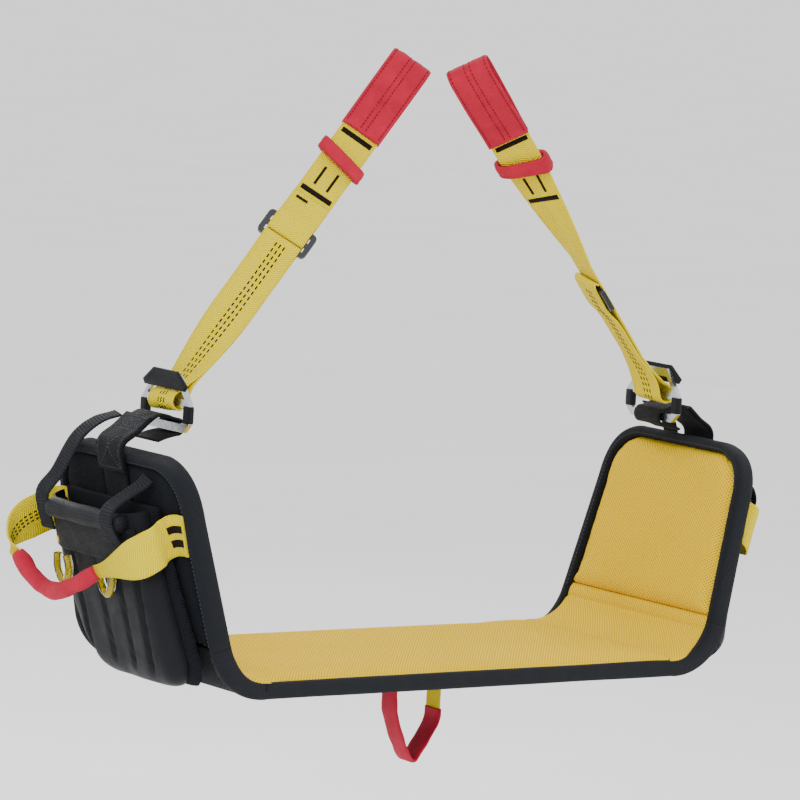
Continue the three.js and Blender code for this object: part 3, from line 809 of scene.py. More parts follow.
def make_wing_panels():
    """Yellow pad inside each wing, and the black padded mesh outside it."""
    inside = wing_panel(BINDING - 3, CREASE_UP - 4, 1.5, PAD - 0.5, 9, -1.0)
    inside = inside.build("pad", LOOKS["yellow_mesh"])
    inflate(inside, 4.0, 4.0, lambda p: wing_measures(p)[2] < PAD - 3)
    outside = wing_panel(BINDING - 4, FOLD_RUN + 1, PANEL - 1.5, PAD + 0.8, 10, 1.0)
    outside = outside.build("shell", LOOKS["black_mesh"])
    free = lambda p: 1.0 * (wing_measures(p)[2] > PAD + 3) * (np.abs(p[:, 1]) > 26)
    inflate(outside, 4.0, 2.5, free)
    finish_pads(inside, "wing_cushion", "wing_pad")
    finish_pads(outside, "wing_cover", "wing_shell")


# ---------- the fold between seat and wing ----------


def fold_profile(steps):
    """Points across the fold in the XZ plane, their outward directions and distances along it."""
    start_run, end_run = 8, CREASE_UP - FOLD_RUN
    centre = np.array([CORNER - FOLD_RUN, FOLD_RADIUS])
    arc = FOLD_RADIUS * (math.pi / 2 - FLARE)
    points, normals, fars = [], [], np.linspace(-start_run, arc + end_run, steps)
    for far in fars:
        turn = min(max(far / FOLD_RADIUS, 0), math.pi / 2 - FLARE)
        out = np.array([math.sin(turn), -math.cos(turn)])
        along = np.array([math.cos(turn), math.sin(turn)])
        past = far if far < 0 else max(far - arc, 0)
        points.append(centre + FOLD_RADIUS * out + past * along)
        normals.append(out)
    return np.array(points), np.array(normals), fars


def on_fold(points, normals, back, out):
    """Points of the fold: rows along it, columns back across it, at distances out."""
    x = points[:, 0][:, None] + out * normals[:, 0][:, None]
    z = points[:, 1][:, None] + out * normals[:, 1][:, None]
    return np.stack([x, np.broadcast_to(back, x.shape), z], -1)


def fold_bend(side_name, side):
    """Body names and the two ends of the stretch between the seat and the wing."""
    start = [side * (CORNER - FOLD_RUN), 0, 0]
    end = [side * (CORNER + FOLD_RUN * math.sin(FLARE)), 0, FOLD_RUN * math.cos(FLARE)]
    return "seat", f"{side_name}_wing", start, end


def make_folds():
    points, normals, fars = fold_profile(44)
    share = smooth((fars + 8) / (fars[-1] + 8))
    for side_name, side in SIDES.items():
        bend = fold_bend(side_name, side)
        columns = half_round(46)
        reach = HALF_DEPTH - 2 - 9 * share
        back = columns * reach[:, None]
        dome = edge_dome(reach[:, None] - np.abs(back), 11)
        seam = 2.2 * np.exp(-(((fars - fars[-1] + 15) / 2.2) ** 2))
        seam = seam + 3.5 * np.exp(-(((fars - fars[-1]) / 3) ** 2))
        top = 7.5 * (1 - dome) + seam[:, None] * dome
        wrinkles = ripple(on_fold(points, normals, back, top), 26, 1.0)
        wrinkles = wrinkles * smooth((fars + 4) / 20)[:, None]
        upper = on_fold(points, normals, back, top + wrinkles)
        lower = on_fold(points, normals, back, np.full_like(top, PAD))
        mesh = Mesh().slab(upper, lower, columns * HALF_DEPTH, fars)
        cushion = finish_side(mesh, side_name, "fold_cushion", "yellow_mesh", bend=bend)
        inner = slice(3, 40)
        back = half_round(30) * (HALF_DEPTH - BINDING + 2)
        turned = np.clip(fars[inner] / FOLD_RADIUS, 0, 1.33) * math.pi / 1.33
        lift = PANEL - 2 + 1.5 * np.sin(turned)
        low = on_fold(points[inner], normals[inner], back, lift[:, None] + 0 * back)
        high = on_fold(points[inner], normals[inner], back, np.full((len(lift), 30), PAD + 0.6))
        mesh = Mesh().slab(low, high, back, fars[inner])
        finish_side(mesh, side_name, "fold_cover", "black_mesh", node="fold_panel", bend=bend)
        for end_name, end in (("front", -1), ("rear", 1)):
            mesh = fold_binding(points[3:40], normals[3:40], fars[3:40], share[3:40], end)
            finish_side(mesh, side_name, f"fold_{end_name}_binding", "black_binding", bend=bend)


def fold_binding(points, normals, fars, share, end):
    """The tape round the fold's edge, whose top rises from below the seat's roll to the wing."""
    rows = []
    for point, normal, part in zip(points, normals, share):
        high = 5.5 * (1 - smooth(part * 1.15)) - 0.8
        ring = soft_ring(BINDING, PANEL + 0.6 - high)
        out = (PANEL + 0.6 + high) / 2 + ring[:, 1]
        back = end * (HALF_DEPTH - BINDING / 2) + ring[:, 0]
        rows.append(np.stack([point[0] + out * normal[0], back, point[1] + out * normal[1]], 1))
    return Mesh().tube(np.array(rows), ring_map(ring), fars)


def make_bindings():
    """Tape round the wings' rims and along the seat's front and rear."""
    height = WING_HEIGHT - BINDING / 2 - FOLD_RUN
    up = FOLD_RUN - 1 + height * np.sin(np.linspace(0, math.pi / 2, 30))
    half = wing_half(np.minimum(up, WING_HEIGHT - BINDING / 2), BINDING / 2)
    front, rear = np.stack([-half, up], 1), np.stack([half, up], 1)[::-1]
    top = np.linspace(-half[-1], half[-1], 12)[1:-1]
    outline = np.vstack([front, np.stack([top, np.full(10, up[-1])], 1), rear])
    along = unit(np.gradient(outline, axis=0))
    inward = np.stack([along[:, 1], -along[:, 0]], 1)
    far = np.cumsum([0, *np.linalg.norm(np.diff(outline, axis=0), axis=1)])
    ring = soft_ring(BINDING, PANEL + 1.2)
    spots = outline[:, None] + ring[None, :, :1] * inward[:, None]
    rows = on_wing(spots[..., 0], spots[..., 1], PANEL / 2 + ring[None, :, 1])
    middle = on_wing(outline[:, 0], outline[:, 1], PANEL / 2)
    for side_name in SIDES:
        mesh = Mesh().tube(rows, ring_map(ring), far)
        finish_side(mesh, side_name, "rim", "black_binding", node="wing_binding")
        stitches = Mesh()
        path = Path(middle, WING_OUT, 260)
        for start in np.arange(6, path.length - 6, 4.5):
            for face in (-1, 1):
                rim_dash(stitches, path, start, face)
        finish_side(stitches, side_name, "rim_stitches", "grey_thread")
    x = np.linspace(-(CORNER - FOLD_RUN) - 1, CORNER - FOLD_RUN + 1, 90)
    for name, end in (("front", -1), ("rear", 1)):
        rows = []
        for spot in x:
            wave = noise.noise(Vector((spot / 90, end, 0))) * 1.2
            ring = soft_ring(BINDING, PANEL - 4.4 + wave)
            back = end * (HALF_DEPTH - BINDING / 2) + ring[:, 0]
            rows.append(np.stack([np.full(20, spot), back, ring[:, 1] - PANEL / 2 - 2.4], 1))
        mesh = Mesh().tube(np.array(rows), ring_map(ring), x)
        finish_piece(mesh, f"seat_{name}_tape", "black_binding", "seat", [f"seat_{name}_binding"])


def rim_dash(mesh, path, start, face):
    """A stitch on the rim's inner or outer face, whose path has its width across the panel."""
    length, spots, rise = 2.9, (2.2, 2.5, 2.9, 3.2), (0, 1, 1, 0)
    fars = np.linspace(start, start + length, 4)
    top, floor = [], []
    for f, share in zip(fars, rise):
        h = 0.5 * share
        top.append([path.at(f, face * (PANEL / 2 + 0.35 + h * k), s) for s, k in zip(spots, rise)])
        floor.append([path.at(f, face * (PANEL / 2 - 0.4), s) for s in spots])
    mesh.slab(np.array(top), np.array(floor), [0, 1, 2, 3], fars)


# ---------- underside ----------


def make_underside():
    """Quilted black cloth under the seat, and the webbing sewn across it."""
    end = CORNER - FOLD_RUN - 1
    depth = HALF_DEPTH - BINDING + 1
    x, y = np.meshgrid(half_round(90) * end, half_round(40) * depth, indexing="ij")
    edge = np.minimum(end - np.abs(x), depth - np.abs(y))
    quilt = np.minimum(np.abs(np.sin(math.pi * x / 110)) * 6, 1)
    quilt = quilt * np.minimum(np.abs(y) / 6 + 0.2, 1)
    low = -PANEL + 1.6 * (1 - edge_dome(edge, 8)) - 0.9 * quilt * smooth(edge / 10)
    low = np.where((np.abs(x) < 66) & (np.abs(y + 20) < 27), -PANEL, low)
    high = np.full_like(low, -PANEL + 2.2)
    mesh = Mesh().slab(np.stack([x, y, low], -1), np.stack([x, y, high], -1), y[0], x[:, 0])
    finish_piece(mesh, "seat_underside", "black_cloth", "seat", ["seat_base_cover"])
    low, high = (np.array(k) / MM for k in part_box("under_seat_anchor"))
    height = (low[2] + high[2]) / 2 - SEAT_TOP / MM
    middle = (low[1] + high[1]) / 2
    path = Path([[x, middle, height] for x in (low[0], 0, high[0])], BACK, 40)
    mesh = strap(path, high[1] - low[1], HARNESS)
    finish_piece(mesh, "under_seat_strap", "black_webbing", "seat", ["under_seat_anchor"])
    stitches = Mesh()
    for start, stop in ((3, 30), (path.length - 30, path.length - 3)):
        box_stitch(stitches, path, start, stop, 18, -HARNESS / 2, -1)
    finish_piece(stitches, "under_seat_strap_stitches", "grey_thread", "seat")


def box_stitch(mesh, path, start, stop, half, lift, face=1):
    """Stitches round a rectangle and along its two diagonals."""
    corners = [(start, -half), (stop, -half), (stop, half), (start, half)]
    corners += [(start, -half), (stop, half)]
    runs = list(zip(corners, corners[1:])) + [((start, half), (stop, -half))]
    for (f0, s0), (f1, s1) in runs:
        length = math.hypot(f1 - f0, s1 - s0)
        for k in np.arange(0.5, length - 2.6, 4.2):
            a, b = k / length, (k + 2.7) / length
            ends = [(f0 + (f1 - f0) * t, s0 + (s1 - s0) * t) for t in (a, (a + b) / 2, b)]
            way = np.array([s1 - s0, -(f1 - f0)]) / length * 0.45
            beside = lambda f, s, h: [path.at(f + j * way[0], s + j * way[1], h) for j in (-1, 1)]
            top = [beside(f, s, lift + face * h) for (f, s), h in zip(ends, (0.05, 0.5, 0.05))]
            low = [beside(f, s, lift - face * 0.3) for f, s in ends]
            mesh.slab(np.array(top), np.array(low), [0, 1], [0, 1, 2])


# ---------- suspension webbing, patch and ring ----------


def suspension_path():
    out = PANEL + 0.3 + HARNESS / 2
    wrap = LOWER_BAR_RADIUS + HARNESS / 2
    bar = np.array([RING_OUT, 0, CROSSBAR - LOWER_BAR_DROP])

    def around(angle, reach=wrap):
        turn = math.radians(angle)
        return bar + np.array([reach * math.cos(turn), 0, reach * math.sin(turn)])

    on_panel = [(0, 150, out), (0, WING_HEIGHT - 40, out), (0, WING_HEIGHT - 8, out + 0.3)]
    over = [(0, WING_HEIGHT + up, out + off) for up, off in ((2, 0.5), (9, -4), (15, -20))]
    points = [on_wing(*p) for p in on_panel + over] + [around(30, 3 * wrap)]
    points += [around(angle) for angle in (80, 120, 160, 200, 240, 280)]
    return Path([*points, around(-40, 2 * wrap), around(-32, 3.2 * wrap)], BACK, 110)


def make_suspension():
    path = suspension_path()
    start, stop = 0.3 * path.length, 0.62 * path.length
    fars = np.linspace(start, stop, 60)
    lift = -HARNESS - 0.6
    ring = flat_ring(PATCH_WIDTH, HARNESS, 13) + [0, lift]
    for side_name in SIDES:
        mesh = strap(path, WEB_WIDTH, HARNESS)
        finish_side(mesh, side_name, "suspension_strap", "black_webbing", node="suspension_webbing")
        mesh = loft(path, fars, [ring] * len(fars), flat=True)
        finish_side(mesh, side_name, "sewn_patch", "black_webbing", node="anchor_patch")
        stitches = Mesh()
        box_stitch(stitches, path, start + 4, start + 46, 20, lift - HARNESS / 2, -1)
        box_stitch(stitches, path, start + 52, stop - 4, 20, lift - HARNESS / 2, -1)
        finish_side(stitches, side_name, "patch_stitches", "grey_thread")


def bevelled(node, look, width):
    """A CAD node that stays, with its own finish and rounded edges."""
    piece = frame["nodes"][node]
    piece.data.materials.clear()
    piece.data.materials.append(LOOKS[look])
    round_off = piece.modifiers.new("rounded", "BEVEL")
    round_off.width = width * MM
    round_off.segments = 3
    round_off.limit_method = "ANGLE"


def make_ring_guards():
    """A stiff black cover over each ring's upper half, with a turned edge, and a black sleeve on
    the ring at its front and rear.
    """
    low, high = (np.array(k) / MM - [0, 0, SEAT_TOP / MM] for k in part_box("right_ring_guard"))
    for side_name in SIDES:
        shoulder = (low[2] - 4 + high[2]) / 2 - 3
        z = low[2] + (high[2] - low[2]) * (half_round(24) + 1) / 2
        heights = [low[2], low[2] + 6, shoulder, high[2]]
        half = np.interp(z, heights, [high[1] - 5, high[1], high[1], 23])
        s, zs = np.meshgrid(half_round(24), z)
        y = s * half[:, None]
        edge = np.minimum(half[:, None] - np.abs(y), np.minimum(zs - low[2], high[2] - zs))
        puff = 0.7 * edge_dome(edge, 3) + 0.6 * np.exp(-(((edge - 5) / 3) ** 2))
        puff = puff - 0.5 * smooth((edge - 8) / 6)
        outer = np.stack([low[0] + 1.9 + puff, y, zs], -1)
        inner = np.stack([np.full_like(y, low[0] + 0.1), y, zs], -1)
        mesh = Mesh().slab(outer, inner, s[0] * 43, z)
        finish_side(mesh, side_name, "guard", "black_cloth", "ring", "ring_guard")
        for end_name, end in (("front", -1), ("rear", 1)):
            leg = Path([[RING_OUT, end * 41, CROSSBAR + z] for z in (-20, -11, -2)], BACK, 16)
            wrap = lambda far: soft_ring(13.5, 8.5) * (0.93 + 0.07 * smooth(min(far, 18 - far) / 2))
            mesh = sweep(Mesh(), leg, wrap)
            finish_side(mesh, side_name, f"ring_{end_name}_sleeve", "black_cloth", "ring")


# ---------- pouches ----------


def pouch_sides(up, rim):
    """Front and rear edge of the pouch's outline at a height, rim further out than the pouch."""
    rear = POUCH_REAR + rim / 2
    bottom = POUCH_BOTTOM - rim / 4
    top = POUCH_TOP + rim / 2
    up = np.asarray(up, float)
    front_low, round_off = POUCH_FRONT_LOW - 1.4 * rim, POUCH_CORNER / 2
    share = np.clip((up - bottom - round_off) / (top - bottom - round_off), 0, 1)
    front = front_low + (POUCH_FRONT_TOP - rim - front_low) * share
    near = np.sqrt(np.clip((up - bottom) / round_off, 0, 1))
    front = front + round_off * (1 - near) ** 2
    far = np.sqrt(np.clip((up - bottom) / POUCH_TAPER, 0, 1))
    return front, rear - POUCH_CUT * (1 - far) ** 1.5


def pouch_out(share, up):
    """How far out the pouch's face stands: it falls away at its sides and foot."""
    side = (1 - np.abs(2 * share - 1) ** 7) ** 0.45
    foot = np.clip((up - POUCH_BOTTOM) / 34, 0, 1)
    low = (1 - (1 - foot) ** 2.6) ** 0.5
    return POUCH_OUT + 1 + (POUCH_FACE - POUCH_OUT - 1) * side * low


def make_pouch_pads():
    rim = 12
    height = POUCH_TOP + rim / 2 - POUCH_BOTTOM + rim / 4
    up = POUCH_BOTTOM - rim / 4 + height * (half_round(56) + 1) / 2
    ups, share = np.meshgrid(up, (half_round(50) + 1) / 2, indexing="ij")
    front, rear = pouch_sides(ups, rim)
    back = front + (rear - front) * share
    edge = np.minimum(np.minimum(back - front, rear - back), np.minimum(ups - up[0], up[-1] - ups))
    dome = edge_dome(edge, 6)
    middle = POUCH_PAD_OUT + POUCH_PAD / 2
    outer = on_wing(back, ups, middle + (POUCH_PAD / 2 - 1.2) * dome)
    inner = on_wing(back, ups, middle - (POUCH_PAD / 2 - 1.2) * dome)
    piece = Mesh().slab(outer, inner, back[28], up).build("pad", LOOKS["black_mesh"])
    inflate(piece, 4.0, 1.6)
    finish_pads(piece, "pouch_pad", "pouch_back_pad")


def make_pouch_bodies():
    """The open pouch with its pleats, the roll along its mouth, its stiff band and two buttons."""
    up = POUCH_BOTTOM + (POUCH_TOP - POUCH_BOTTOM) * np.linspace(0, 1, 60) ** 1.3
    ups, share = np.meshgrid(up, (half_round(60) + 1) / 2, indexing="ij")
    front, rear = pouch_sides(ups, 0)
    back = front + (rear - front) * share
    out = pouch_out(share, ups)
    folds = ripple(on_wing(back, ups, out), 34, 2.2) * smooth((share * (1 - share)) * 9)
    leans = back - front + (ups - POUCH_BOTTOM) * 0.12
    lines = ((34, 5), (66, 4), (104, 3), (150, 4))
    pleats = sum(deep * np.exp(-(((leans - spot) / 3.0) ** 2)) for spot, deep in lines)
    pleats = pleats * smooth((BAND_LOW - ups + 10) / 30)
    outer_out = out + np.minimum(folds, 0.4) - pleats * smooth((ups - 8) / 20)
    inner_out = np.maximum(outer_out - 2.2, POUCH_OUT + 0.2)
    outer, inner = on_wing(back, ups, outer_out), on_wing(back, ups, inner_out)
    roll_points = [
        (POUCH_FRONT_TOP + 6, POUCH_TOP - 9, POUCH_FACE + 1.8),
        (0, POUCH_TOP - 9.6, POUCH_FACE + 2.1),
        (POUCH_REAR - 14, POUCH_TOP - 9, POUCH_FACE + 1.8),
    ]
    roll = wing_path(roll_points, WING_UP, 50)
    close = lambda far: math.sqrt(max(0.02, 1 - (1 - min(far, roll.length - far, 6) / 6) ** 2))
    swell = lambda far: 1 + 0.03 * math.sin(far / 9)
    roll_ring = lambda far: soft_ring(ROLL_SIZE - 2, ROLL_SIZE, 2.2) * swell(far) * close(far)
    band_share = np.linspace(0.03, 0.97, 60)
    band_up = np.linspace(BAND_LOW, BAND_HIGH, 16)
    bu, bs = np.meshgrid(band_up, band_share, indexing="ij")
    front, rear = pouch_sides(bu, 0)
    band_back = front + (rear - front) * bs
    sides = np.minimum(bs - 0.03, 0.97 - bs) * 160
    edge = np.minimum(sides, np.minimum(bu - BAND_LOW, BAND_HIGH - bu))
    face = pouch_out(bs, bu) + 0.4
    band_outer = on_wing(band_back, bu, face + 2.0 + 1.4 * edge_dome(edge, 2.5))
    for side_name in SIDES:
        mesh = Mesh().slab(outer, inner, back[30], up)
        finish_side(mesh, side_name, "pouch", "black_cloth", node="pouch_body")
        mesh = sweep(Mesh(), roll, roll_ring)
        finish_side(mesh, side_name, "pouch_roll", "black_cloth", node="pouch_mouth_roll")
        mesh = Mesh().slab(band_outer, on_wing(band_back, bu, face), band_back[8], band_up)
        finish_side(mesh, side_name, "pouch_stiff_band", "black_cloth", node="pouch_band")
        for name, spot, radius in (("rivet", (68, 141), 4.5), ("stud", (-30, 158), 1.6)):
            finish_side(button(spot, radius), side_name, f"pouch_{name}", "yellow_plastic")


def button(spot, radius):
    """A domed button on the pouch's face."""
    front, rear = pouch_sides(spot[1], 0)
    base = float(pouch_out((spot[0] - front) / (rear - front), spot[1])) + 2.5
    turn = np.linspace(0, 2 * math.pi, 20, endpoint=False)
    shares = (1, 1, 0.93, 0.72, 0.6, 0.35, 0.05)
    heights = (-0.4, 0.35, 0.8, 1.15, 1.0, 1.1, 1.15)
    rows = []
    for share, height in zip(shares, heights):
        back = spot[0] + radius * share * np.cos(turn)
        rows.append(on_wing(back, spot[1] + radius * share * np.sin(turn), base + height))
    return Mesh().tube(np.array(rows), np.linspace(0, radius * 6, 21), range(7))


def make_pouch_straps():
    face = POUCH_FACE + 0.6 + 2.5 + RIBBED_THICKNESS / 2
    over = POUCH_FACE + 0.6 + 2 * ROLL_RADIUS + RIBBED_THICKNESS / 2
    front_y, rear_y = POUCH_FRONT_TOP + 20, POUCH_REAR - 8
    front = [
        (front_y - 12, WING_HEIGHT - 20, PANEL + 3 + RIBBED_THICKNESS / 2),
        (front_y - 10, WING_HEIGHT - 25, PANEL + 10),
        (front_y - 4, WING_HEIGHT - 32, PANEL + 24),
        (front_y, POUCH_TOP + 8, over - 6),
        (front_y, POUCH_TOP - 4, over + 1),
        (front_y, POUCH_TOP - 2 * ROLL_RADIUS - 6, over - 2),
        (front_y, POUCH_TOP - 34, face + 0.6),
    ]
    rear = [
        (44, WING_HEIGHT + 24, -16),
        (50, WING_HEIGHT + 22, 6),
        (58, WING_HEIGHT + 10, 28),
        (68, POUCH_TOP + 26, over - 22),
        (rear_y, POUCH_TOP + 6, over - 8),
        (rear_y, POUCH_TOP - 12, face + 3),
        (rear_y, POUCH_TOP - 34, face + 0.6),
    ]
    for name, points in (("front_strap", front), ("rear_strap", rear)):
        path = wing_path(points, BACK, 70)
        for side_name in SIDES:
            finish_side(ribbed_strap(path), side_name, f"{name}_tape", "black_ribbed", node=name)


def ribbed_strap(path, rib=3.4):
    """A strap whose faces rise and fall in real ribs across it."""
    fars = np.arange(0, path.length, rib / 4)
    thick = [RIBBED_THICKNESS + 0.5 * math.sin(2 * math.pi * far / rib) - 0.3 for far in fars]
    return loft(path, fars, [flat_ring(RIBBED_WIDTH, thickness) for thickness in thick], flat=True)


# ---------- gear loops ----------


def make_gear_loops():
    face = PANEL + 1 + WEB_THICKNESS / 2
    mouth_front, mouth_rear, low = (-30, 125, 84), (96, 131, 101), (40, 99, 101)
    front = [
        (-GEAR_Y + GEAR_SHIFT, GEAR_UP, face),
        (-GEAR_Y + GEAR_SHIFT + 10, GEAR_UP, face + 0.4),
        (-GEAR_Y + GEAR_SHIFT + 18, GEAR_UP - 1, face + 3.5),
        (-GEAR_Y + GEAR_SHIFT + 20, GEAR_UP - 3, face + 12),
        (-GEAR_Y + 25, GEAR_UP - 8, face + 26),
        (-GEAR_Y + 40, GEAR_UP - 18, face + 44),
        ((mouth_front[0] - GEAR_Y + 40) / 2, mouth_front[1] + 8, mouth_front[2] - 4),
        (mouth_front[0] + 4, mouth_front[1] - 1, mouth_front[2] + 2),
    ]
    rear = [
        (GEAR_Y - 22, GEAR_UP, face),
        (GEAR_Y - 10, GEAR_UP, face + 0.4),
        (GEAR_Y - 2, GEAR_UP - 1, face + 3.5),
        (GEAR_Y + 2, GEAR_UP - 2, face + 12),
        (GEAR_Y + 5, GEAR_UP - 7, face + 42),
        (GEAR_Y, GEAR_UP - 15, mouth_rear[2] - 14),
        (mouth_rear[0] + 13, mouth_rear[1] + 6, mouth_rear[2] - 1),
        (mouth_rear[0] - 4, mouth_rear[1] - 1, mouth_rear[2] - 0.5),
    ]
    sleeve = [
        mouth_front,
        (mouth_front[0] + 25, mouth_front[1] - 14, mouth_front[2] + 14),
        low,
        (mouth_rear[0] - 22, low[1] + 13, mouth_rear[2] + 1),
        mouth_rear,
    ]
    for side_name, side in SIDES.items():
        for name, points in (("front", front), ("rear", rear)):
            path = wing_path(points, WING_UP, 80)
            start = on_wing(points[1][0], GEAR_UP, face) * [side, 1, 1]
            stop = on_wing(*points[4]) * [side, 1, 1]
            piece = f"gear_{name}"
            bend = (f"{side_name}_wing", f"{side_name}_gear_loop", start, stop)
            mesh, node = cupped_strap(path), f"{piece}_webbing"
            finish_side(mesh, side_name, f"{piece}_strap", "yellow_webbing", node=node, bend=bend)
            tacks = Mesh()
            for spot in (-12, 3):
                tack(tacks, path, 3, 23, spot, spot + 8, WEB_THICKNESS / 2, 2.6)
                tack(tacks, path, 3, 23, spot, spot + 8, -WEB_THICKNESS / 2 - 0.7, 2.6)
            finish_side(tacks, side_name, f"{piece}_tacks", "dark_thread", bend=bend)
            for face_name, lift in (("outer", 1.15), ("inner", -1.4)) if name == "rear" else ():
                rows = dash_rows(path, (-4, 0, 4), 46, path.length - 26, lift, 6.5)
                full = f"{piece}_{face_name}_dashes"
                finish_side(rows, side_name, full, "dark_thread", bend=bend)
        path = wing_path(sleeve, WING_UP, 120)
        rings = []
        for far in path.far:
            ring = soft_ring(2 * SLEEVE_RADIUS, 2 * SLEEVE_RADIUS, 2.1, 28)
            place = path.at(np.full(28, far), ring[:, 0], ring[:, 1])
            swell = 1 + 0.07 * math.sin(far / 6.5) * math.sin(far / 17) + ripple(place, 11, 0.09)
            pinch = 1 - 0.16 * math.exp(-far / 6) - 0.16 * math.exp(-(path.length - far) / 6)
            rings.append(ring * swell[:, None] * pinch)
        mesh = loft(path, path.far, rings)
        finish_side(mesh, side_name, "gear_loop_sleeve", "red_cloth", "gear_loop", "gear_sleeve")


def cupped_strap(path):
    """Webbing that narrows and curls as it goes into the sleeve."""

    def ring_at(far):
        share = smooth((far / path.length - 0.45) / 0.5)
        width = WEB_WIDTH - (WEB_WIDTH - 15) * share
        ring = flat_ring(width, WEB_THICKNESS, 11)
        bow = 1 - np.cos(ring[:, 0] / width * math.pi)
        ring[:, 1] -= (0.35 * width) * share * bow * 0.8 * 0.5
        return ring

    return sweep(Mesh(), path, ring_at, flat=True)


def make_small_loops():
    """Yellow cord in a clear tube, sewn under the stiff band."""
    out = POUCH_FACE + 0.6 + TUBE_RADIUS
    top = BAND_LOW - TUBE_RADIUS - 2
    drop, half = 30, 11
    for name, back in (("front", -22), ("rear", 62)):
        points = [
            (back - half + 2, top, out),
            (back - half, top - drop / 2, out + 1),
            (back - half / 2, top - drop + 4, out + 2),
            (back, top - drop, out + 2),
            (back + half / 2, top - drop + 4, out + 2),
            (back + half, top - drop / 2, out + 1),
            (back + half - 2, top, out),
        ]
        path = wing_path(points, WING_OUT, 60)
        tube_size = 2 * TUBE_RADIUS + 1.2
        tube_ring = lambda far: soft_ring(tube_size, tube_size, 2.0, 18)
        cord = soft_ring(CORD, CORD, 2.0, 14)
        cord_ring = lambda far: cord * (1 + 0.05 * math.sin(far * 2))
        for side_name in SIDES:
            body = f"{name}_small_loop"
            tube = sweep(Mesh(), path, tube_ring)
            node = f"{name}_clear_loop"
            finish_side(tube, side_name, f"{name}_loop_tube", "clear_tube", body, node)
            core = sweep(Mesh(), path, cord_ring)
            finish_side(core, side_name, f"{name}_loop_cord", "yellow_webbing", body)


# ---------- risers ----------


class Riser:
    """A riser's own frame: width, face and distance up from the crossbar, with its twist."""

    def __init__(self, name):
        self.name, self.side = name, SIDES[name]
        along = np.array(JOINTS[f"{name}_adjuster_slide"]["axis"], float)
        self.foot = np.array([self.side * RING_OUT, 0, CROSSBAR])
        width = unit(BACK - along[1] * along)
        self.basis = np.stack([width, np.cross(along, width), along])
        self.length = RISER_LENGTH
        self.loop_foot = self.length - LOOP_LENGTH
        self.adjuster = ADJUSTER[name]

    def twist(self, height):
        half = WEB_WIDTH / 2
        steady = (0.47 if self.name == "left" else 0.6) * self.adjuster
        lower = np.clip((height - half) / (self.adjuster - steady - half), 0, 1)
        run = self.loop_foot - self.adjuster - 3 * half
        upper = np.clip((height - self.adjuster - 2 * half) / run, 0, 1)
        first, last = ADJUSTER_TWIST[self.name], TOP_TWIST[self.name]
        return lower * first + upper * (last - first)

    def place(self, mesh):
        """Turns a mesh drawn in the riser's own frame into the seat's."""
        p = np.array(mesh.points, float)
        turn = self.twist(p[:, 2])
        x = p[:, 0] * np.cos(turn) - p[:, 1] * np.sin(turn)
        y = p[:, 0] * np.sin(turn) + p[:, 1] * np.cos(turn)
        mesh.points = (self.foot + np.stack([x, y, p[:, 2]], 1) @ self.basis).tolist()
        return mesh

    def spot(self, height):
        return self.foot + height * self.basis[2]

    def finish(self, mesh, name, look, body=None, node=None, bend=None):
        """Places and finishes a mesh, whose piece, bodies and CAD node take the riser's side."""
        nodes = [f"{self.name}_{node}"] if node else []
        body = body and f"{self.name}_{body}"
        if bend:
            far_body, low, high = bend
            ends = self.spot(low), self.spot(high)
            bend = (f"{self.name}_riser", f"{self.name}_{far_body}", *ends)
        return finish_piece(self.place(mesh), f"{self.name}_{name}", look, body, nodes, bend)


def riser_path(points, steps):
    return Path([(0, y, z) for y, z in points], (1, 0, 0), steps)


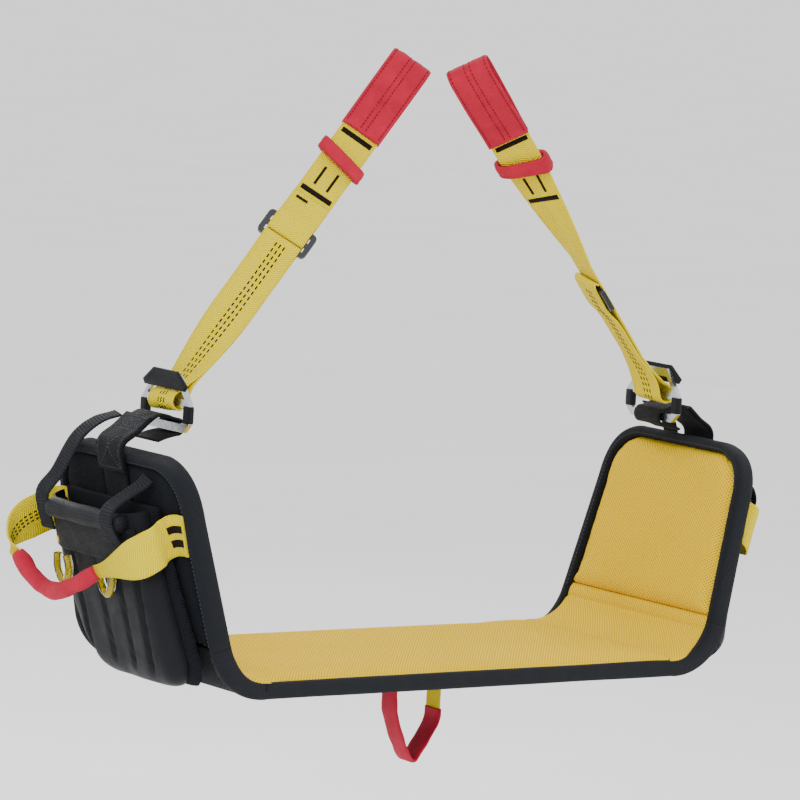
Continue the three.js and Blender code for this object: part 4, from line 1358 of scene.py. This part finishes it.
def make_riser(name):
    riser = Riser(name)
    slide, foot = riser.adjuster, riser.loop_foot
    wrap = BAR_RADIUS + WEB_THICKNESS / 2
    bar = [(-0.7 * wrap, -0.7 * wrap), (0, -wrap), (0.7 * wrap, -0.7 * wrap)]
    bar += [(wrap, 1), (0.9 * wrap, 6)]
    front = 5.3 + 0.4 + WEB_THICKNESS / 2
    rise = [(0.52 * wrap, 15), (LAYER, 31), (LAYER + 0.1, slide * 0.52)]
    rise += [(LAYER + 1.2, slide - 36), (front, slide - 17)]
    if name == "left":
        end = [(front, slide - 11), (4.4, slide - 7.6), (2.0, slide - 6.4)]
    else:
        end = [(front + 0.2, slide), (front, slide + 14), (front - 1, slide + 20)]
        end += [(3.2, slide + 22.6), (0.6, slide + 19)]
    lower = riser_path([(-0.9 * wrap, 6), (-wrap, 1), *bar, *rise, *end], 190)
    bend_low = ("adjuster_slider", 40, slide - 26)
    mesh = strap(lower, WEB_WIDTH, WEB_THICKNESS)
    riser.finish(mesh, "riser_return", "yellow_webbing", node="riser_lower_webbing", bend=bend_low)
    rows = dash_rows(lower, (-7, -2, 3), 4, lower.length - (9 if name == "left" else 12), 1.12, 7.5)
    riser.finish(rows, "riser_return_dashes", "dark_thread", bend=bend_low)

    heights = (31, slide * 0.62, slide + 20, (slide + foot) / 2, foot + 12)
    start = [(-wrap, 1), (-0.9 * wrap, 6), (-0.52 * wrap, 15)]
    back = riser_path([*start, *[(-LAYER, z) for z in heights]], 170)
    bend_high = ("riser_top", 40, foot - 96)
    mesh = strap(back, WEB_WIDTH, WEB_THICKNESS)
    riser.finish(mesh, "riser_strap", "yellow_webbing", node="riser_upper_webbing", bend=bend_high)
    tacks = Mesh()
    base = back.length - 12
    for lift in (WEB_THICKNESS / 2, -WEB_THICKNESS / 2 - 0.55):
        tack(tacks, back, base - 92, base - 86, -19, 19, lift, 1.4)
        tack(tacks, back, base - 12, base - 6, -19, 19, lift, 1.4)
        for spot in (-9, 7):
            tack(tacks, back, base - 80, base - 56, spot, spot + 3, lift, 1.0)
    riser.finish(tacks, "riser_tacks", "dark_thread", bend=bend_high)
    if name == "left":
        face = WEB_THICKNESS - LAYER
        points = [(face + 1.8, 48), (face + 1.9, 38), (3.6, 28)]
        points += [(front + 0.2, 16), (front + 0.4, 2), (front - 0.5, -3.0), (3.6, -4.4)]
        over = riser_path([(y, slide + z) for y, z in points], 60)
        mesh = strap(over, WEB_WIDTH, WEB_THICKNESS)
        riser.finish(mesh, "riser_overlap", "yellow_webbing", "adjuster_slider")
        tacks = Mesh()
        tack(tacks, over, 4, 7, 2, 16, -WEB_THICKNESS / 2 - 0.7, 1.4)
        riser.finish(tacks, "riser_overlap_tack", "dark_thread", "adjuster_slider")
    bevelled(f"{name}_adjuster", "black_metal", 1.2)
    make_keeper(riser)
    make_top_loop(riser)


def make_keeper(riser):
    """The red ring that holds the strap's layers together."""
    height = riser.loop_foot - KEEPER_BELOW
    rows = []
    outer, inner = soft_ring(60, 22, 3.2, 40), soft_ring(50.5, 12.5, 3.0, 40)
    levels = (-8.3, -7.4, -5.5, -2, 1.5, 5, 7.4, 8.3)
    for z, share in zip(levels, (0.3, 0.85, 1, 0.93, 1, 0.95, 0.85, 0.3)):
        ring = inner + (outer - inner) * share
        rows.append(np.stack([ring[:, 0], ring[:, 1] - LAYER, np.full(40, height + z)], 1))
    for z in (8.3, 4, 0, -4, -8.3):
        rows.append(np.stack([inner[:, 0], inner[:, 1] - LAYER, np.full(40, height + z)], 1))
    rows = np.array([*rows, rows[0]])
    rows[..., 2] += 0.2 * rows[..., 0] - 0.25 * rows[..., 1]
    rows += ripple(rows, 9, 0.5)[..., None] * np.array([0, 0, 1.0])
    mesh = Mesh()
    mesh.grid(rows, ring_map(outer), np.linspace(0, 50, len(rows)), closed=True)
    riser.finish(mesh, "keeper_ring", "red_cloth", "keeper", "keeper_loop")


def make_top_loop(riser):
    """The red sleeved eye at the riser's top, whose band runs up, over the crown and down."""
    foot, head = riser.loop_foot - 2, riser.length - 2.4
    half = LOOP_DEPTH / 2 - 2.4
    side_points = [(2.6, foot), (3.2, foot + 16), (half - 2.6, foot + 45), (half, head - half - 8)]
    turns = np.radians([0, 30, 60, 90, 120, 150, 180])
    crown = [(half * math.cos(a), head - half + half * math.sin(a)) for a in turns]
    points = side_points + crown + [(-y, z) for y, z in side_points[::-1]]
    path = riser_path(points, 120)
    rings = []
    for far in path.far:
        ring = soft_ring(LOOP_WIDTH, LOOP_WALL, 3.6, 44)
        place = path.at(np.full(44, far), ring[:, 0], ring[:, 1])
        ring = ring + np.stack([np.zeros(44), ripple(place, 10, 0.8)], 1)
        ring[:, 1] -= 0.55 * np.exp(-((ring[:, 0] / 1.1) ** 2)) * np.sign(ring[:, 1])
        rings.append(ring)
    mesh = loft(path, path.far, rings)
    riser.finish(mesh, "loop_sleeve", "red_cloth", "riser_top", "top_loop")
    stitches = Mesh()
    for far in np.arange(4, path.length - 6, 4.2):
        for spot in (-3.2, 3.2, -20.5, 20.5):
            for lift in (2.1, -2.5 - 0.1):
                dash(stitches, path, far, spot, 2.7, 0.8, lift, 0.4)
    riser.finish(stitches, "loop_sleeve_stitches", "red_thread", "riser_top")


# ---------- loop under the seat ----------


def make_under_loop():
    low, high = (np.array(k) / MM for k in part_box("under_seat_anchor"))
    top = low[2] - SEAT_TOP / MM - 1
    y, spread, drop = (low[1] + high[1]) / 2, UNDER_SPREAD, UNDER_DROP
    foot = top - drop
    points = [
        (-spread, top - 13),
        (-spread + 2, top - 0.4 * drop),
        (-0.42 * spread, foot + 16),
        (0, foot),
        (0.42 * spread, foot + 16),
        (spread - 1, top - 0.55 * drop),
        (spread, top - 38),
    ]
    path = Path([(x, y, z) for x, z in points], BACK, 110)
    rings = []
    for far in path.far:
        ring = soft_ring(28, 5, 3.0, 32)
        place = path.at(np.full(32, far), ring[:, 0], ring[:, 1])
        rings.append(ring * (1 + ripple(place, 12, 0.1))[:, None])
    mesh = loft(path, path.far, rings)
    finish_piece(mesh, "under_loop_sleeve", "red_cloth", "under_seat_loop", ["under_seat_sleeve"])
    for name, x, seam in (("left", -spread, top - 13), ("right", spread, top - 38)):
        leg = Path([(x, y, seam - 3), (x, y, (seam + top) / 2), (x, y, top + 0.4)], BACK, 24)
        bend = ("seat", "under_seat_loop", [x, y, top], [x, y, top - 12])
        mesh = strap(leg, 25, WEB_THICKNESS)
        nodes = [f"under_seat_webbing_{name}"]
        finish_piece(mesh, f"under_loop_{name}_strap", "yellow_webbing", nodes=nodes, bend=bend)


# ---------- stage ----------


def make_camera():
    """A long lens from the front left, a little above the seat, slightly tilted."""
    turn, tip, roll = np.radians([35.99, 6.22, 3.49])
    distance, aim = 5642.3, np.array([-25.08, 0, 271.5])
    flat = math.cos(tip)
    look = np.array([math.sin(turn) * flat, math.cos(turn) * flat, -math.sin(tip)])
    level = np.array([math.cos(turn), -math.sin(turn), 0])
    rise = np.cross(level, look)
    right = level * math.cos(roll) + rise * math.sin(roll)
    up = -level * math.sin(roll) + rise * math.cos(roll)
    data = bpy.data.cameras.new("camera")
    data.lens = 234.5
    data.sensor_width = 36
    data.clip_end = 200
    camera = bpy.data.objects.new("camera", data)
    bpy.context.scene.collection.objects.link(camera)
    place = world(aim - look * distance)
    rows = [(right[i], up[i], -look[i], place[i]) for i in range(3)]
    camera.matrix_world = Matrix([*rows, (0, 0, 0, 1)])
    bpy.context.scene.camera = camera


def make_light(name, size, power, place, aim):
    data = bpy.data.lights.new(name, "AREA")
    data.size = size
    data.energy = power
    light = bpy.data.objects.new(name, data)
    bpy.context.scene.collection.objects.link(light)
    light.location = place
    light.rotation_euler = (Vector(aim) - Vector(place)).to_track_quat("-Z", "Y").to_euler()


def make_stage():
    plane = Mesh()
    spots = np.linspace(-60000, 60000, 9)
    x, y = np.meshgrid(spots, spots, indexing="ij")
    height = cad_low.z / MM - SEAT_TOP / MM - 420
    plane.grid(np.stack([x, y, np.full_like(x, height)], -1), spots, spots)
    floor = plane.build("floor", floor_material())
    sky = bpy.data.worlds.new("studio")
    sky.use_nodes = True
    sky.node_tree.nodes["Background"].inputs["Color"].default_value = (1.0, 1.0, 1.0, 1.0)
    sky.node_tree.nodes["Background"].inputs["Strength"].default_value = 1.35
    bpy.context.scene.world = sky
    aim = (0, 0, -0.4)
    make_light("key", 1.6, 95, (-2.2, -2.4, 1.8), aim)
    make_light("fill", 2.0, 30, (2.6, -1.6, 0.8), aim)
    make_light("rim", 1.2, 45, (0.8, 2.6, 1.6), aim)


make_camera()
make_stage()
make_seat_cushion()
make_wing_panels()
make_folds()
make_bindings()
make_underside()
make_suspension()
make_ring_guards()
make_pouch_pads()
make_pouch_bodies()
make_pouch_straps()
make_gear_loops()
make_small_loops()
make_riser("left")
make_riser("right")
make_under_loop()
for side_of in SIDES:
    bevelled(f"{side_of}_ring_frame", "steel", 1.2)
bevelled("seat_board", "board", 1.0)
